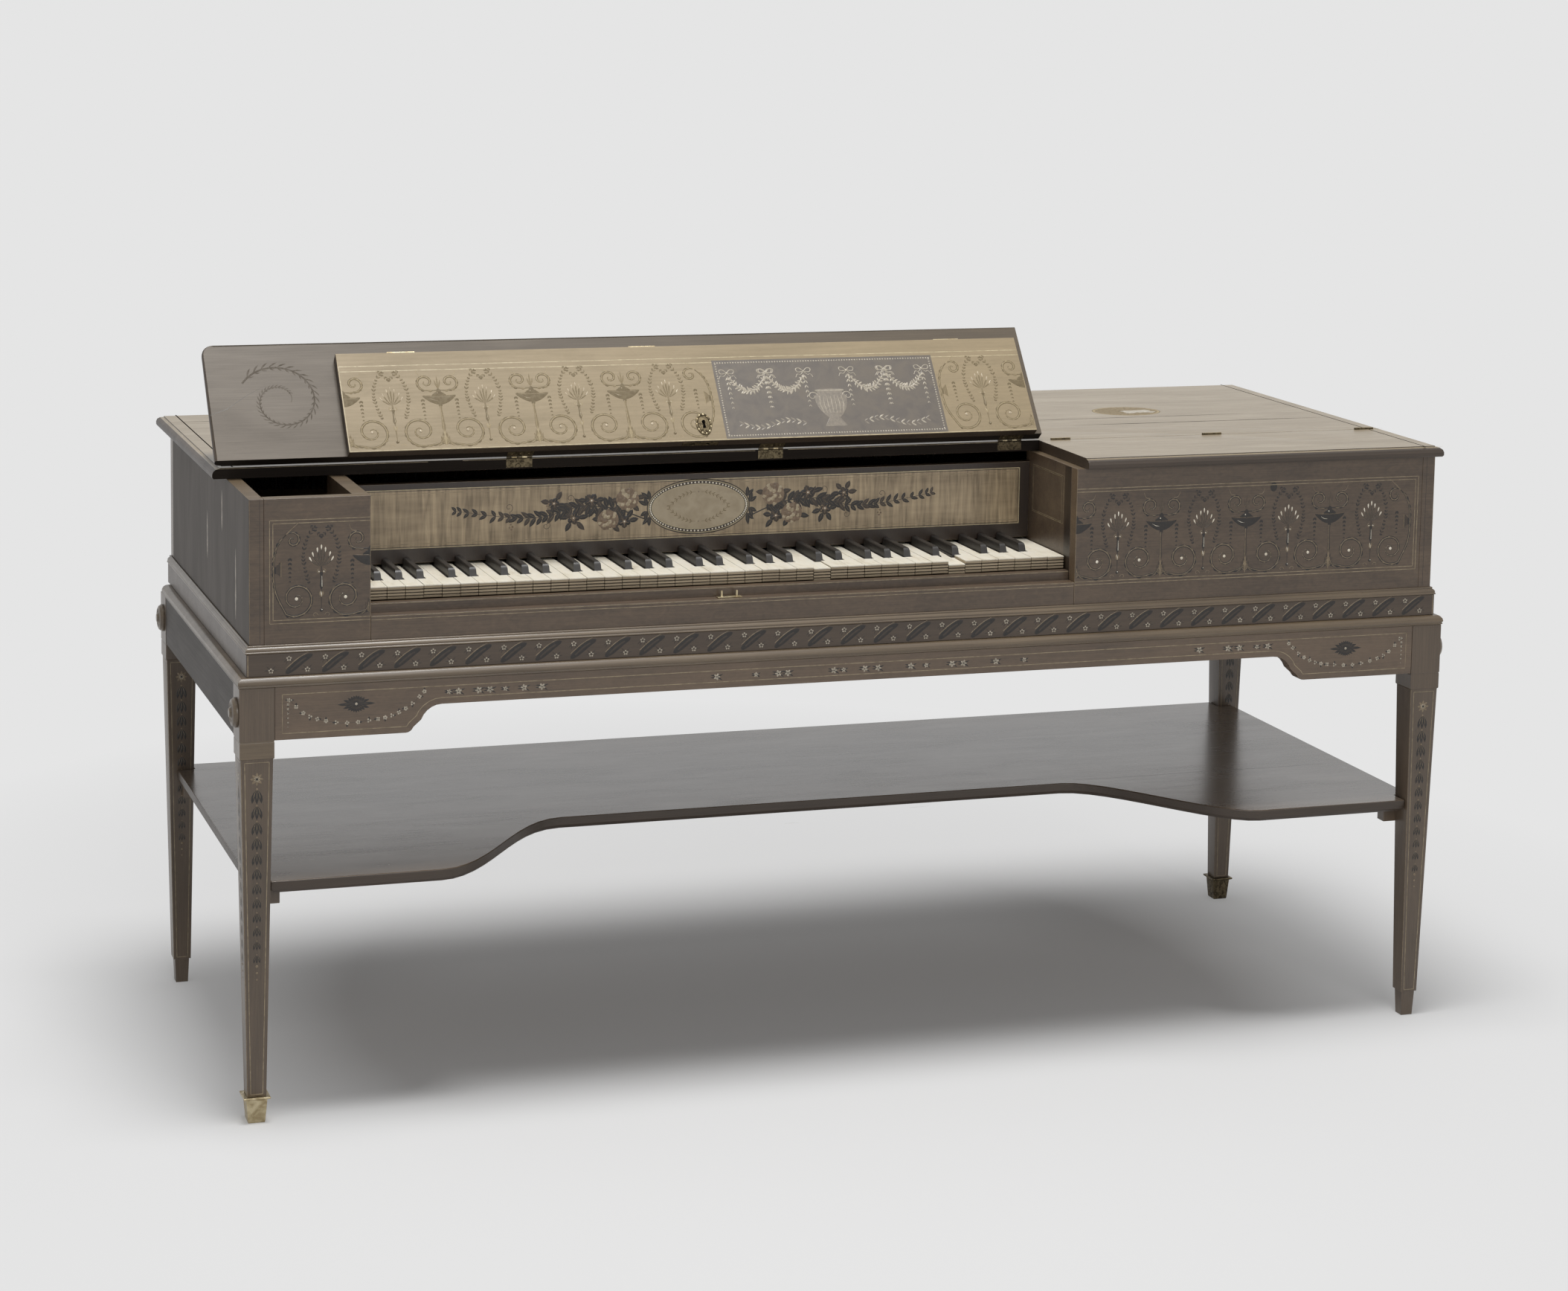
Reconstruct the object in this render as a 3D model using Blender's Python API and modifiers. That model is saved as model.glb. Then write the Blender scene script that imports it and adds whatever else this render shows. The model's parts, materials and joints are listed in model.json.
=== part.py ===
"""Square piano on a four-legged stand, modelled at full size in metres with +Z up.

The case is drawn from its own front left corner: x runs right along the front, y runs back
to the spine, and z is the height over the floor. One empty then carries the whole piano so
that the origin sits on the floor under the middle of its bounding box.
"""

import math

import bmesh
import bpy
from mathutils import Matrix, Vector

# Case
CASE_LENGTH = 1.600
CASE_DEPTH = 0.620
RIM_HEIGHT = 0.7765
WALL = 0.018
SPINE_THICKNESS = 0.020
BOTTOM_THICKNESS = 0.025
LEFT_BLOCK_WIDTH = 0.1486
CHEEK_THICKNESS = 0.020
PANEL_FOOT_HEIGHT = 0.598
MOULDING_DROP = 0.010
MOULDING_PROJECTION = 0.0060
PLINTH_PROJECTION = 0.0045

# Keyboard
NATURAL_COUNT = 40
NATURAL_PITCH = 0.0231
KEY_GAP = 0.0006
KEY_RECESS = 0.0335
HEAD_LENGTH = 0.040
NATURAL_VISIBLE = 0.1265
KEY_TOP_HEIGHT = 0.6567
KEY_THICKNESS = 0.0163
SHARP_RISE = 0.0110
SHARP_WIDTH = 0.0096
KEY_LENGTH = 0.370
BALANCE_FROM_FRONT = 0.172
KEY_DIP = 0.0080
SUNK_KEY_DROP = 0.0050
KEYBOARD_RIGHT_GAP = 0.0013
SEPARATE_KEYS = 13
LEDGE_HEIGHT = 0.6275
SLIP_GAP = 0.0015
NAMEBOARD_THICKNESS = 0.012

# Stand
STAND_HEIGHT = 0.560
STAND_SIDE_LEDGE = 0.014
STAND_FRONT_LEDGE = 0.010
STAND_BACK_LEDGE = 0.004
STAND_MOULDING_HEIGHT = 0.0125
BLOCK_WIDTH = 0.0430
APRON_DEPTH = 0.0657
APRON_MIDDLE_DEPTH = 0.0320
APRON_THICKNESS = 0.020
APRON_END = 0.171
COLLAR_HEIGHT = 0.023
LEG_TOP_WIDTH = 0.0396
LEG_FOOT_WIDTH = 0.0236
FOOT_HEIGHT = 0.034
FOOT_TOP_WIDTH = 0.0195
FOOT_BOTTOM_WIDTH = 0.0165
FERRULE_WALL = 0.0022
SHELF_HEIGHT = 0.304
SHELF_THICKNESS = 0.016
SHELF_LOBE = 0.215
SHELF_SWEEP = 0.205
SHELF_RECESS = 0.205
ROSETTE_RADIUS = 0.0185
ROSETTE_DEPTH = 0.0090

# Lid
LID_THICKNESS = 0.0140
LID_LEFT_OVERHANG = 0.0180
LID_RIGHT_OVERHANG = 0.0070
LID_FRONT_OVERHANG = 0.0110
LID_BACK_OVERHANG = 0.0100
HINGE_LINE = 0.158
KNUCKLE_RADIUS = 0.0016
KNUCKLE_LENGTH = 0.028
LEAF_OPEN_ANGLE = 128.5
LOCK_BOARD_THICKNESS = 0.0125
LOCK_BOARD_HEIGHT = 0.1445
LOCK_BOARD_SETBACK = 0.0020

# Strings and action
SOUNDBOARD_HEIGHT = 0.705
SOUNDBOARD_THICKNESS = 0.003
BRIDGE_HEIGHT = 0.014
BRIDGE_WIDTH = 0.012

# Clearances
FIT = 0.0003
SWING = 0.0010
BOARD_PLAY = 0.0006

# Derived places
KEYWELL_LEFT = LEFT_BLOCK_WIDTH
KEYBOARD_WIDTH = NATURAL_COUNT * NATURAL_PITCH
KEYWELL_WIDTH = KEYBOARD_WIDTH + KEYBOARD_RIGHT_GAP + 0.0042
KEYWELL_RIGHT = KEYWELL_LEFT + KEYWELL_WIDTH
KEYBOARD_LEFT = KEYWELL_RIGHT - KEYBOARD_RIGHT_GAP - KEYBOARD_WIDTH
OCTAVE = 7 * NATURAL_PITCH
SLOT = OCTAVE / 12
SHARP_PLACES = (1, 3, 5, 8, 10)
KEY_COUNT = 68
NAMEBOARD_FRONT = KEY_RECESS + NATURAL_VISIBLE
KEY_BOTTOM_HEIGHT = KEY_TOP_HEIGHT - KEY_THICKNESS
BALANCE_LINE = KEY_RECESS + BALANCE_FROM_FRONT
CASE_BOTTOM = STAND_HEIGHT + FIT
FLOOR_TOP = CASE_BOTTOM + BOTTOM_THICKNESS
SPINE_FRONT = CASE_DEPTH - SPINE_THICKNESS
LID_BOTTOM = RIM_HEIGHT + FIT
LID_TOP = LID_BOTTOM + LID_THICKNESS
HINGE_HEIGHT = LID_TOP + 0.0010
LID_SPLIT = KEYWELL_RIGHT + 0.0115
BLOCK_BOTTOM = STAND_HEIGHT - STAND_MOULDING_HEIGHT - APRON_DEPTH
RAIL_TOP = STAND_HEIGHT - STAND_MOULDING_HEIGHT - FIT
LOCK_CENTRE = KEYWELL_LEFT + 0.461
LOCK_WIDTH = 0.048
LOCK_DEPTH = 0.036
POST_SPREAD = 0.020
POST_WIDTH = 0.0024
POST_HEIGHT = 0.0085
POST_LINE = LOCK_BOARD_SETBACK + 0.0080
REACH_FRONT = STAND_FRONT_LEDGE + 0.0020
REACH_BACK = LID_BACK_OVERHANG
MIDDLE_DEPTH = (CASE_DEPTH + REACH_BACK - REACH_FRONT) / 2

FINISHES = {
    "satinwood": ((0.36, 0.21, 0.10, 1), 0.38, 0.0),
    "case_wood": ((0.12, 0.065, 0.035, 1), 0.42, 0.0),
    "stand_wood": ((0.11, 0.06, 0.032, 1), 0.42, 0.0),
    "oak": ((0.30, 0.19, 0.10, 1), 0.65, 0.0),
    "spruce": ((0.55, 0.40, 0.22, 1), 0.55, 0.0),
    "beech": ((0.45, 0.29, 0.16, 1), 0.55, 0.0),
    "ivory": ((0.80, 0.77, 0.68, 1), 0.35, 0.0),
    "ebony": ((0.012, 0.011, 0.010, 1), 0.35, 0.0),
    "brass": ((0.62, 0.48, 0.22, 1), 0.30, 1.0),
}


def clear_scene():
    """Remove every object, so that the script can run again from the text editor."""
    for item in list(bpy.data.objects):
        bpy.data.objects.remove(item, do_unlink=True)


def make_material(name):
    """Principled material of one of the finishes."""
    colour, roughness, metallic = FINISHES[name]
    made = bpy.data.materials.new(name)
    made.use_nodes = True
    shader = made.node_tree.nodes["Principled BSDF"]
    shader.inputs["Base Color"].default_value = colour
    shader.inputs["Roughness"].default_value = roughness
    shader.inputs["Metallic"].default_value = metallic
    made.diffuse_color = colour
    return made


def empty(name, location, parent=None, turn=0.0):
    """Empty that carries pieces, turned about the x axis by so many degrees."""
    made = bpy.data.objects.new(name, None)
    made.location = location
    made.rotation_euler = (math.radians(turn), 0.0, 0.0)
    made.parent = parent
    PARTS.objects.link(made)
    return made


def add_piece(name, data, finish, location=(0.0, 0.0, 0.0), parent=None, helper=False):
    """Link mesh or curve data as a named piece, or as a hidden cutter."""
    made = bpy.data.objects.new(name, data)
    made.location = location
    made.parent = parent or CORNER
    if helper:
        CUTTERS.objects.link(made)
        made.hide_render = True
        made.display_type = "WIRE"
        return made
    PARTS.objects.link(made)
    data.materials.append(MATERIALS[finish])
    return made


def box_mesh(name, low, high, pivot=(0.0, 0.0, 0.0)):
    """Mesh of a box between two corners, measured from a pivot."""
    low, high, pivot = Vector(low), Vector(high), Vector(pivot)
    size = high - low
    place = Matrix.Translation((low + high) / 2 - pivot) @ Matrix.Diagonal((*size, 1.0))
    shape = bmesh.new()
    bmesh.ops.create_cube(shape, size=1.0, matrix=place)
    mesh = bpy.data.meshes.new(name)
    shape.to_mesh(mesh)
    shape.free()
    return mesh


def box(name, low, high, finish, pivot=(0.0, 0.0, 0.0), parent=None):
    """Board or block between two corners."""
    return add_piece(name, box_mesh(name, low, high, pivot), finish, (0, 0, 0), parent)


def boxes_mesh(name, corners, pivot=(0.0, 0.0, 0.0)):
    """Mesh that holds several separate boxes."""
    shape = bmesh.new()
    pivot = Vector(pivot)
    for low, high in corners:
        low, high = Vector(low), Vector(high)
        place = Matrix.Translation((low + high) / 2 - pivot) @ Matrix.Diagonal((*(high - low), 1.0))
        bmesh.ops.create_cube(shape, size=1.0, matrix=place)
    mesh = bpy.data.meshes.new(name)
    shape.to_mesh(mesh)
    shape.free()
    return mesh


def boolean(piece, helper, operation):
    """Cut a helper from a piece, or join it to the piece."""
    step = piece.modifiers.new(helper.name, "BOOLEAN")
    step.operation = operation
    step.solver = "EXACT"
    step.object = helper
    return step


def ring_loft(name, rings):
    """Closed mesh through rings with the same number of points, capped at both ends."""
    shape = bmesh.new()
    made = [[shape.verts.new(point) for point in ring] for ring in rings]
    count = len(rings[0])
    for lower, upper in zip(made, made[1:]):
        for i in range(count):
            j = (i + 1) % count
            shape.faces.new((lower[i], lower[j], upper[j], upper[i]))
    shape.faces.new(made[0])
    shape.faces.new(made[-1])
    bmesh.ops.recalc_face_normals(shape, faces=shape.faces)
    mesh = bpy.data.meshes.new(name)
    shape.to_mesh(mesh)
    shape.free()
    return mesh


def mitred_run(name, path, profile, finish):
    """Moulding along an open path in plan, mitred at its corners.

    The profile's points are (distance outward from the path, height).
    """
    rings = []
    for i, point in enumerate(path):
        here = Vector(point)
        before = (here - Vector(path[i - 1])).normalized() if i > 0 else None
        after = (Vector(path[i + 1]) - here).normalized() if i + 1 < len(path) else None
        first = before or after
        second = after or before
        bisector = Vector((first.y + second.y, -first.x - second.x))
        outward = Vector((first.y, -first.x))
        reach = bisector / bisector.dot(outward)
        rings.append([(here.x + reach.x * out, here.y + reach.y * out, z) for out, z in profile])
    return add_piece(name, ring_loft(name, rings), finish)


def plan_outline(name, points, low, high, finish, pivot=(0.0, 0.0, 0.0), parent=None):
    """Flat outline in plan, extruded between two heights, as a filled 2D curve."""
    curve = bpy.data.curves.new(name, "CURVE")
    curve.dimensions = "2D"
    curve.fill_mode = "BOTH"
    curve.extrude = (high - low) / 2
    spline = curve.splines.new("POLY")
    spline.points.add(len(points) - 1)
    for knot, (x, y) in zip(spline.points, points):
        knot.co = (x - pivot[0], y - pivot[1], 0.0, 1.0)
    spline.use_cyclic_u = True
    place = (0.0, 0.0, (low + high) / 2 - pivot[2])
    return add_piece(name, curve, finish, place, parent)


def as_mesh(piece):
    """Replace a curve piece by a mesh piece of the same name, its caps welded."""
    graph = bpy.context.evaluated_depsgraph_get()
    mesh = bpy.data.meshes.new_from_object(piece.evaluated_get(graph))
    shape = bmesh.new()
    shape.from_mesh(mesh)
    bmesh.ops.remove_doubles(shape, verts=shape.verts, dist=1e-6)
    bmesh.ops.recalc_face_normals(shape, faces=shape.faces)
    shape.to_mesh(mesh)
    shape.free()
    name, parent, place = piece.name, piece.parent, piece.location.copy()
    bpy.data.objects.remove(piece, do_unlink=True)
    made = bpy.data.objects.new(name, mesh)
    made.parent = parent
    made.location = place
    PARTS.objects.link(made)
    return made


def turned(name, profile, finish, steps, location, tilt=(0.0, 0.0, 0.0), parent=None):
    """Piece turned about z from a profile that runs down its outer side, top to bottom.

    Four steps give a square section: the profile's radii are then half widths over cos 45.
    """
    mesh = bpy.data.meshes.new(name)
    points = [(radius, 0.0, height) for radius, height in profile]
    mesh.from_pydata(points, [(i, i + 1) for i in range(len(points) - 1)], [])
    piece = add_piece(name, mesh, finish, location, parent)
    piece.rotation_euler = tilt
    screw = piece.modifiers.new("Turn", "SCREW")
    screw.steps = steps
    screw.render_steps = steps
    screw.use_merge_vertices = True
    screw.merge_threshold = 0.00001
    screw.use_smooth_shade = steps > 4
    return piece


def square_profile(widths):
    """Profile for a four-sided turned piece, from (side width, height) pairs."""
    return [(width / math.sqrt(2), height) for width, height in widths]


def moulded_board(name, low, high, sides, finish, pivot=(0.0, 0.0, 0.0), parent=None):
    """Lid board with a thumbnail edge on the named sides, as a stack of plan rectangles."""
    nose = 0.0060
    run = 0.0090
    fillet = 0.0012
    thickness = high[2] - low[2]
    profile = [(0.0015, 0.0), (0.0, 0.0020), (0.0, nose)]
    for angle in (30, 60, 90):
        turn = math.radians(angle)
        rise = (thickness - fillet - nose) * math.sin(turn)
        profile.append((run * (1 - math.cos(turn)), nose + rise))
    profile.append((run + 0.0003, thickness))
    rings = []
    for inset, height in profile:
        left = low[0] + (inset if "left" in sides else 0.0)
        right = high[0] - (inset if "right" in sides else 0.0)
        front = low[1] + (inset if "front" in sides else 0.0)
        back = high[1] - (inset if "back" in sides else 0.0)
        z = low[2] + height - pivot[2]
        plan = ((left, front), (right, front), (right, back), (left, back))
        rings.append([(x - pivot[0], y - pivot[1], z) for x, y in plan])
    return add_piece(name, ring_loft(name, rings), finish, (0, 0, 0), parent)


def arc(centre, radius, start, end, count):
    """Points along an arc, from one angle to another in degrees."""
    points = []
    for i in range(count + 1):
        turn = math.radians(start + (end - start) * i / count)
        points.append((centre[0] + radius * math.cos(turn), centre[1] + radius * math.sin(turn)))
    return points


def sweep(start, end, count):
    """Points of an S curve between two points, level at both ends."""
    points = []
    for i in range(count + 1):
        share = i / count
        ease = share * share * (3 - 2 * share)
        points.append((start[0] + (end[0] - start[0]) * share, start[1] + (end[1] - start[1]) * ease))
    return points


def leg_centres():
    """Plan centres of the four legs by name."""
    half = BLOCK_WIDTH / 2
    left = -STAND_SIDE_LEDGE + half
    right = CASE_LENGTH + STAND_SIDE_LEDGE - half
    front = -STAND_FRONT_LEDGE + half
    back = CASE_DEPTH + STAND_BACK_LEDGE - half
    return {
        "front_left": (left, front),
        "front_right": (right, front),
        "rear_left": (left, back),
        "rear_right": (right, back),
    }


def leg_width(height):
    """Width of the tapered leg at a height."""
    top = BLOCK_BOTTOM - COLLAR_HEIGHT
    return LEG_FOOT_WIDTH + (LEG_TOP_WIDTH - LEG_FOOT_WIDTH) * (height - FOOT_HEIGHT) / (top - FOOT_HEIGHT)


def build_legs():
    """Square tapered legs: two stand in brass cup ferrules, two on bare stepped feet."""
    groove = 0.0012
    for place, (x, y) in leg_centres().items():
        shod = place in ("front_left", "rear_right")
        sole = FERRULE_WALL + FIT if shod else 0.0
        collar_bottom = BLOCK_BOTTOM - COLLAR_HEIGHT
        profile = square_profile(
            [
                (0.0, RAIL_TOP),
                (BLOCK_WIDTH, RAIL_TOP),
                (BLOCK_WIDTH, BLOCK_BOTTOM),
                (BLOCK_WIDTH - groove, BLOCK_BOTTOM - groove / 2),
                (BLOCK_WIDTH - groove, BLOCK_BOTTOM - 3 * groove / 2),
                (BLOCK_WIDTH - groove / 2, BLOCK_BOTTOM - 2 * groove),
                (BLOCK_WIDTH - groove / 2, collar_bottom + 0.001),
                (LEG_TOP_WIDTH, collar_bottom),
                (LEG_FOOT_WIDTH, FOOT_HEIGHT),
                (FOOT_TOP_WIDTH, FOOT_HEIGHT),
                (FOOT_BOTTOM_WIDTH, sole),
                (0.0, sole),
            ]
        )
        turned(f"leg_{place}", profile, "stand_wood", 4, (x, y, 0), (0, 0, math.pi / 4))
        if shod:
            build_ferrule(f"ferrule_{place}", x, y)


def build_ferrule(name, x, y):
    """Brass cup with a projecting lip, round the foot of one leg."""
    play = 2 * FIT
    rim = FOOT_HEIGHT - FIT
    body_top = FOOT_TOP_WIDTH + play + 2 * FERRULE_WALL
    body_bottom = FOOT_BOTTOM_WIDTH + play + 2 * FERRULE_WALL - 0.0015
    profile = square_profile(
        [
            (FOOT_TOP_WIDTH + play, rim),
            (0.0330, rim),
            (0.0335, rim - 0.0010),
            (0.0325, rim - 0.0025),
            (body_top + 0.0015, rim - 0.0040),
            (body_bottom + 0.0012, 0.0015),
            (body_bottom, 0.0),
            (0.0, 0.0),
        ]
    )
    inner = square_profile(
        [(0.0, FERRULE_WALL), (FOOT_BOTTOM_WIDTH + play, FERRULE_WALL), (FOOT_TOP_WIDTH + play, rim)]
    )
    mesh_profile = profile + inner[:-1]
    mesh = bpy.data.meshes.new(name)
    points = [(radius, 0.0, height) for radius, height in mesh_profile]
    edges = [(i, i + 1) for i in range(len(points) - 1)] + [(len(points) - 1, 0)]
    edges = [edge for edge in edges if edge != (len(profile) - 1, len(profile))]
    mesh.from_pydata(points, edges, [])
    piece = add_piece(name, mesh, "brass", (x, y, 0))
    piece.rotation_euler = (0, 0, math.pi / 4)
    screw = piece.modifiers.new("Turn", "SCREW")
    screw.steps = 4
    screw.render_steps = 4
    screw.use_merge_vertices = True
    screw.merge_threshold = 0.00001
    screw.use_smooth_shade = False


def apron_points():
    """Outline of the front apron, seen from the front: deep ends and a shallow middle."""
    left = -STAND_SIDE_LEDGE + BLOCK_WIDTH + FIT
    right = CASE_LENGTH + STAND_SIDE_LEDGE - BLOCK_WIDTH - FIT
    low = BLOCK_BOTTOM
    middle = STAND_HEIGHT - STAND_MOULDING_HEIGHT - APRON_MIDDLE_DEPTH
    rise = middle - low
    toe = 0.010
    end = left + APRON_END
    curve = [(end - toe, low)]
    curve += arc((end - toe, low + toe), toe, -90, -20, 4)
    curve += arc((end + rise * 1.05, middle - rise * 0.82), rise * 0.82, 160, 90, 5)
    mirrored = [(left + right - x, z) for x, z in reversed(curve)]
    return [(left, RAIL_TOP), (left, low)] + curve + mirrored + [(right, low), (right, RAIL_TOP)]


def build_rails():
    """Front apron, side rails and rear rail, framed between the leg blocks."""
    front = -STAND_FRONT_LEDGE + 0.0005
    apron = plan_outline("front_apron", apron_points(), 0.0, APRON_THICKNESS, "stand_wood")
    apron.rotation_euler = (math.pi / 2, 0, 0)
    apron.location = (0, front + APRON_THICKNESS / 2, 0)
    near = -STAND_FRONT_LEDGE + BLOCK_WIDTH + FIT
    far = CASE_DEPTH + STAND_BACK_LEDGE - BLOCK_WIDTH - FIT
    left = -STAND_SIDE_LEDGE + 0.0005
    right = CASE_LENGTH + STAND_SIDE_LEDGE - 0.0005
    low = BLOCK_BOTTOM + 0.0005
    box("rail_left", (left, near, low), (left + APRON_THICKNESS, far, RAIL_TOP), "stand_wood")
    box("rail_right", (right - APRON_THICKNESS, near, low), (right, far, RAIL_TOP), "stand_wood")
    start = -STAND_SIDE_LEDGE + BLOCK_WIDTH + FIT
    end = CASE_LENGTH + STAND_SIDE_LEDGE - BLOCK_WIDTH - FIT
    back = CASE_DEPTH + STAND_BACK_LEDGE - 0.0005
    box("rail_rear", (start, back - APRON_THICKNESS, low), (end, back, STAND_HEIGHT), "stand_wood")


def build_stand_moulding():
    """Rounded top moulding of the stand, along its front and both sides."""
    low = STAND_HEIGHT - STAND_MOULDING_HEIGHT
    left = -STAND_SIDE_LEDGE
    right = CASE_LENGTH + STAND_SIDE_LEDGE
    front = -STAND_FRONT_LEDGE
    back = CASE_DEPTH + STAND_BACK_LEDGE - APRON_THICKNESS - 2 * FIT
    path = [(left, back), (left, front), (right, front), (right, back)]
    proud = 0.0020
    radius = 0.0080
    profile = [(-APRON_THICKNESS - 0.002, low), (0.0005, low), (0.0015, low + 0.0010), (0.0005, low + 0.0025)]
    for angle in (0, 25, 50, 70, 90):
        turn = math.radians(angle)
        out = proud - radius + radius * math.cos(turn)
        profile.append((out, STAND_HEIGHT - radius + radius * math.sin(turn)))
    profile.append((-APRON_THICKNESS - 0.002, STAND_HEIGHT))
    mitred_run("stand_moulding", path, profile, "stand_wood")


def shelf_points():
    """Plan of the shelf: notched round the legs, with a swept recess in its front edge."""
    half = leg_width(SHELF_HEIGHT) / 2 + 2 * FIT
    centres = leg_centres()
    left_x, front_y = centres["front_left"]
    right_x, back_y = centres["rear_right"]
    left = left_x - 0.006
    right = right_x + 0.006
    front = front_y - 0.012
    back = back_y + 0.012
    notch_left = left_x + half
    notch_right = right_x - half
    notch_front = front_y + half
    notch_back = back_y - half
    lobe = notch_left + SHELF_LOBE
    swept = sweep((lobe, front), (lobe + SHELF_SWEEP, front + SHELF_RECESS), 12)
    mirrored = [(left_x + right_x - x, y) for x, y in reversed(swept)]
    outline = [(left, notch_front), (notch_left, notch_front), (notch_left, front)]
    outline += swept + mirrored
    outline += [(notch_right, front), (notch_right, notch_front), (right, notch_front)]
    outline += [(right, notch_back), (notch_right, notch_back), (notch_right, back)]
    outline += [(notch_left, back), (notch_left, notch_back), (left, notch_back)]
    return outline


def build_shelf():
    """Undertier between the legs."""
    low = SHELF_HEIGHT - SHELF_THICKNESS
    plan_outline("shelf", shelf_points(), low, SHELF_HEIGHT, "stand_wood")


def build_rosettes():
    """Turned covers over the bed bolts, on the outer side of each leg block."""
    height = (RAIL_TOP + BLOCK_BOTTOM) / 2
    r = ROSETTE_RADIUS
    d = ROSETTE_DEPTH
    profile = [
        (0.0, d),
        (r * 0.28, d),
        (r * 0.40, d * 0.72),
        (r * 0.50, d * 0.55),
        (r * 0.72, d * 0.78),
        (r * 0.88, d * 0.62),
        (r, d * 0.25),
        (r, 0.0),
        (0.0, 0.0),
    ]
    for place, (x, y) in leg_centres().items():
        side = -1 if "left" in place else 1
        face = x + side * (BLOCK_WIDTH / 2 + FIT)
        tilt = (0, side * math.pi / 2, 0)
        turned(f"rosette_{place}", profile, "stand_wood", 20, (face, y, height), tilt)


def build_case_shell():
    """Bottom, spine, ends, front panels, keywell cheeks and the rail under the keys."""
    inner_left = WALL + FIT
    inner_right = CASE_LENGTH - WALL - FIT
    inner_front = WALL + FIT
    inner_back = SPINE_FRONT - FIT
    high = RIM_HEIGHT
    box("bottom_board", (inner_left, inner_front, CASE_BOTTOM), (inner_right, inner_back, FLOOR_TOP), "oak")
    box("spine", (0, SPINE_FRONT, CASE_BOTTOM), (CASE_LENGTH, CASE_DEPTH, high), "case_wood")
    box("case_left_end", (0, 0, CASE_BOTTOM), (WALL, inner_back, high), "case_wood")
    box("case_right_end", (CASE_LENGTH - WALL, 0, CASE_BOTTOM), (CASE_LENGTH, inner_back, high), "case_wood")
    low = CASE_BOTTOM
    box("front_left_panel", (inner_left, 0, low), (KEYWELL_LEFT, WALL, high), "case_wood")
    box("front_right_panel", (KEYWELL_RIGHT, 0, low), (inner_right, WALL, high), "case_wood")
    start = KEYWELL_LEFT + FIT
    end = KEYWELL_RIGHT - FIT
    box("base_rail", (start, 0, low), (end, WALL, LEDGE_HEIGHT), "case_wood")
    floor = FLOOR_TOP + FIT
    cheek_back = NAMEBOARD_FRONT + NAMEBOARD_THICKNESS + FIT
    left = KEYWELL_LEFT - CHEEK_THICKNESS
    box("cheek_left", (left, inner_front, floor), (KEYWELL_LEFT, cheek_back, high), "case_wood")
    right = KEYWELL_RIGHT + CHEEK_THICKNESS
    box("cheek_right", (KEYWELL_RIGHT, inner_front, floor), (right, cheek_back, high), "case_wood")
    top = LID_BOTTOM - LOCK_BOARD_THICKNESS - 2 * SWING
    low_edge = KEY_TOP_HEIGHT + 0.0035
    back = NAMEBOARD_FRONT + NAMEBOARD_THICKNESS
    box("nameboard", (start, NAMEBOARD_FRONT, low_edge), (end, back, top), "satinwood")


def build_catch():
    """Brass plate on the ledge with the two posts that the lock holds."""
    top = LEDGE_HEIGHT + FIT
    plate = 0.0012
    length = POST_SPREAD + 0.012
    low = (LOCK_CENTRE - length / 2, POST_LINE - 0.004, top)
    high = (LOCK_CENTRE + length / 2, POST_LINE + 0.004, top + plate)
    piece = box("lock_catch", low, high, "brass")
    half = POST_WIDTH / 2
    posts = []
    for side in (-0.5, 0.5):
        x = LOCK_CENTRE + side * POST_SPREAD
        foot = (x - half, POST_LINE - half, top + plate / 2)
        tip = (x + half, POST_LINE + half, top + POST_HEIGHT)
        posts.append((foot, tip))
    helper = add_piece("lock_catch_posts", boxes_mesh("lock_catch_posts", posts), None, helper=True)
    boolean(piece, helper, "UNION")


def build_case_trim():
    """Beaded moulding and painted plinth band, along the front and both ends."""
    path = [(0, CASE_DEPTH), (0, 0), (CASE_LENGTH, 0), (CASE_LENGTH, CASE_DEPTH)]
    top = PANEL_FOOT_HEIGHT
    low = top - MOULDING_DROP
    reach = MOULDING_PROJECTION
    moulding = [
        (FIT, low),
        (reach - 0.0006, low),
        (reach, low + 0.0008),
        (reach, low + 0.0018),
        (reach - 0.0010, low + 0.0026),
        (reach - 0.0006, low + 0.0046),
        (reach - 0.0022, low + 0.0066),
        (reach - 0.0038, low + 0.0076),
        (reach - 0.0032, low + 0.0090),
        (reach - 0.0042, top),
        (FIT, top),
    ]
    mitred_run("case_moulding", path, moulding, "case_wood")
    high = low - FIT
    band = [(FIT, CASE_BOTTOM), (PLINTH_PROJECTION, CASE_BOTTOM), (PLINTH_PROJECTION, high), (FIT, high)]
    mitred_run("case_plinth", path, band, "case_wood")


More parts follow.
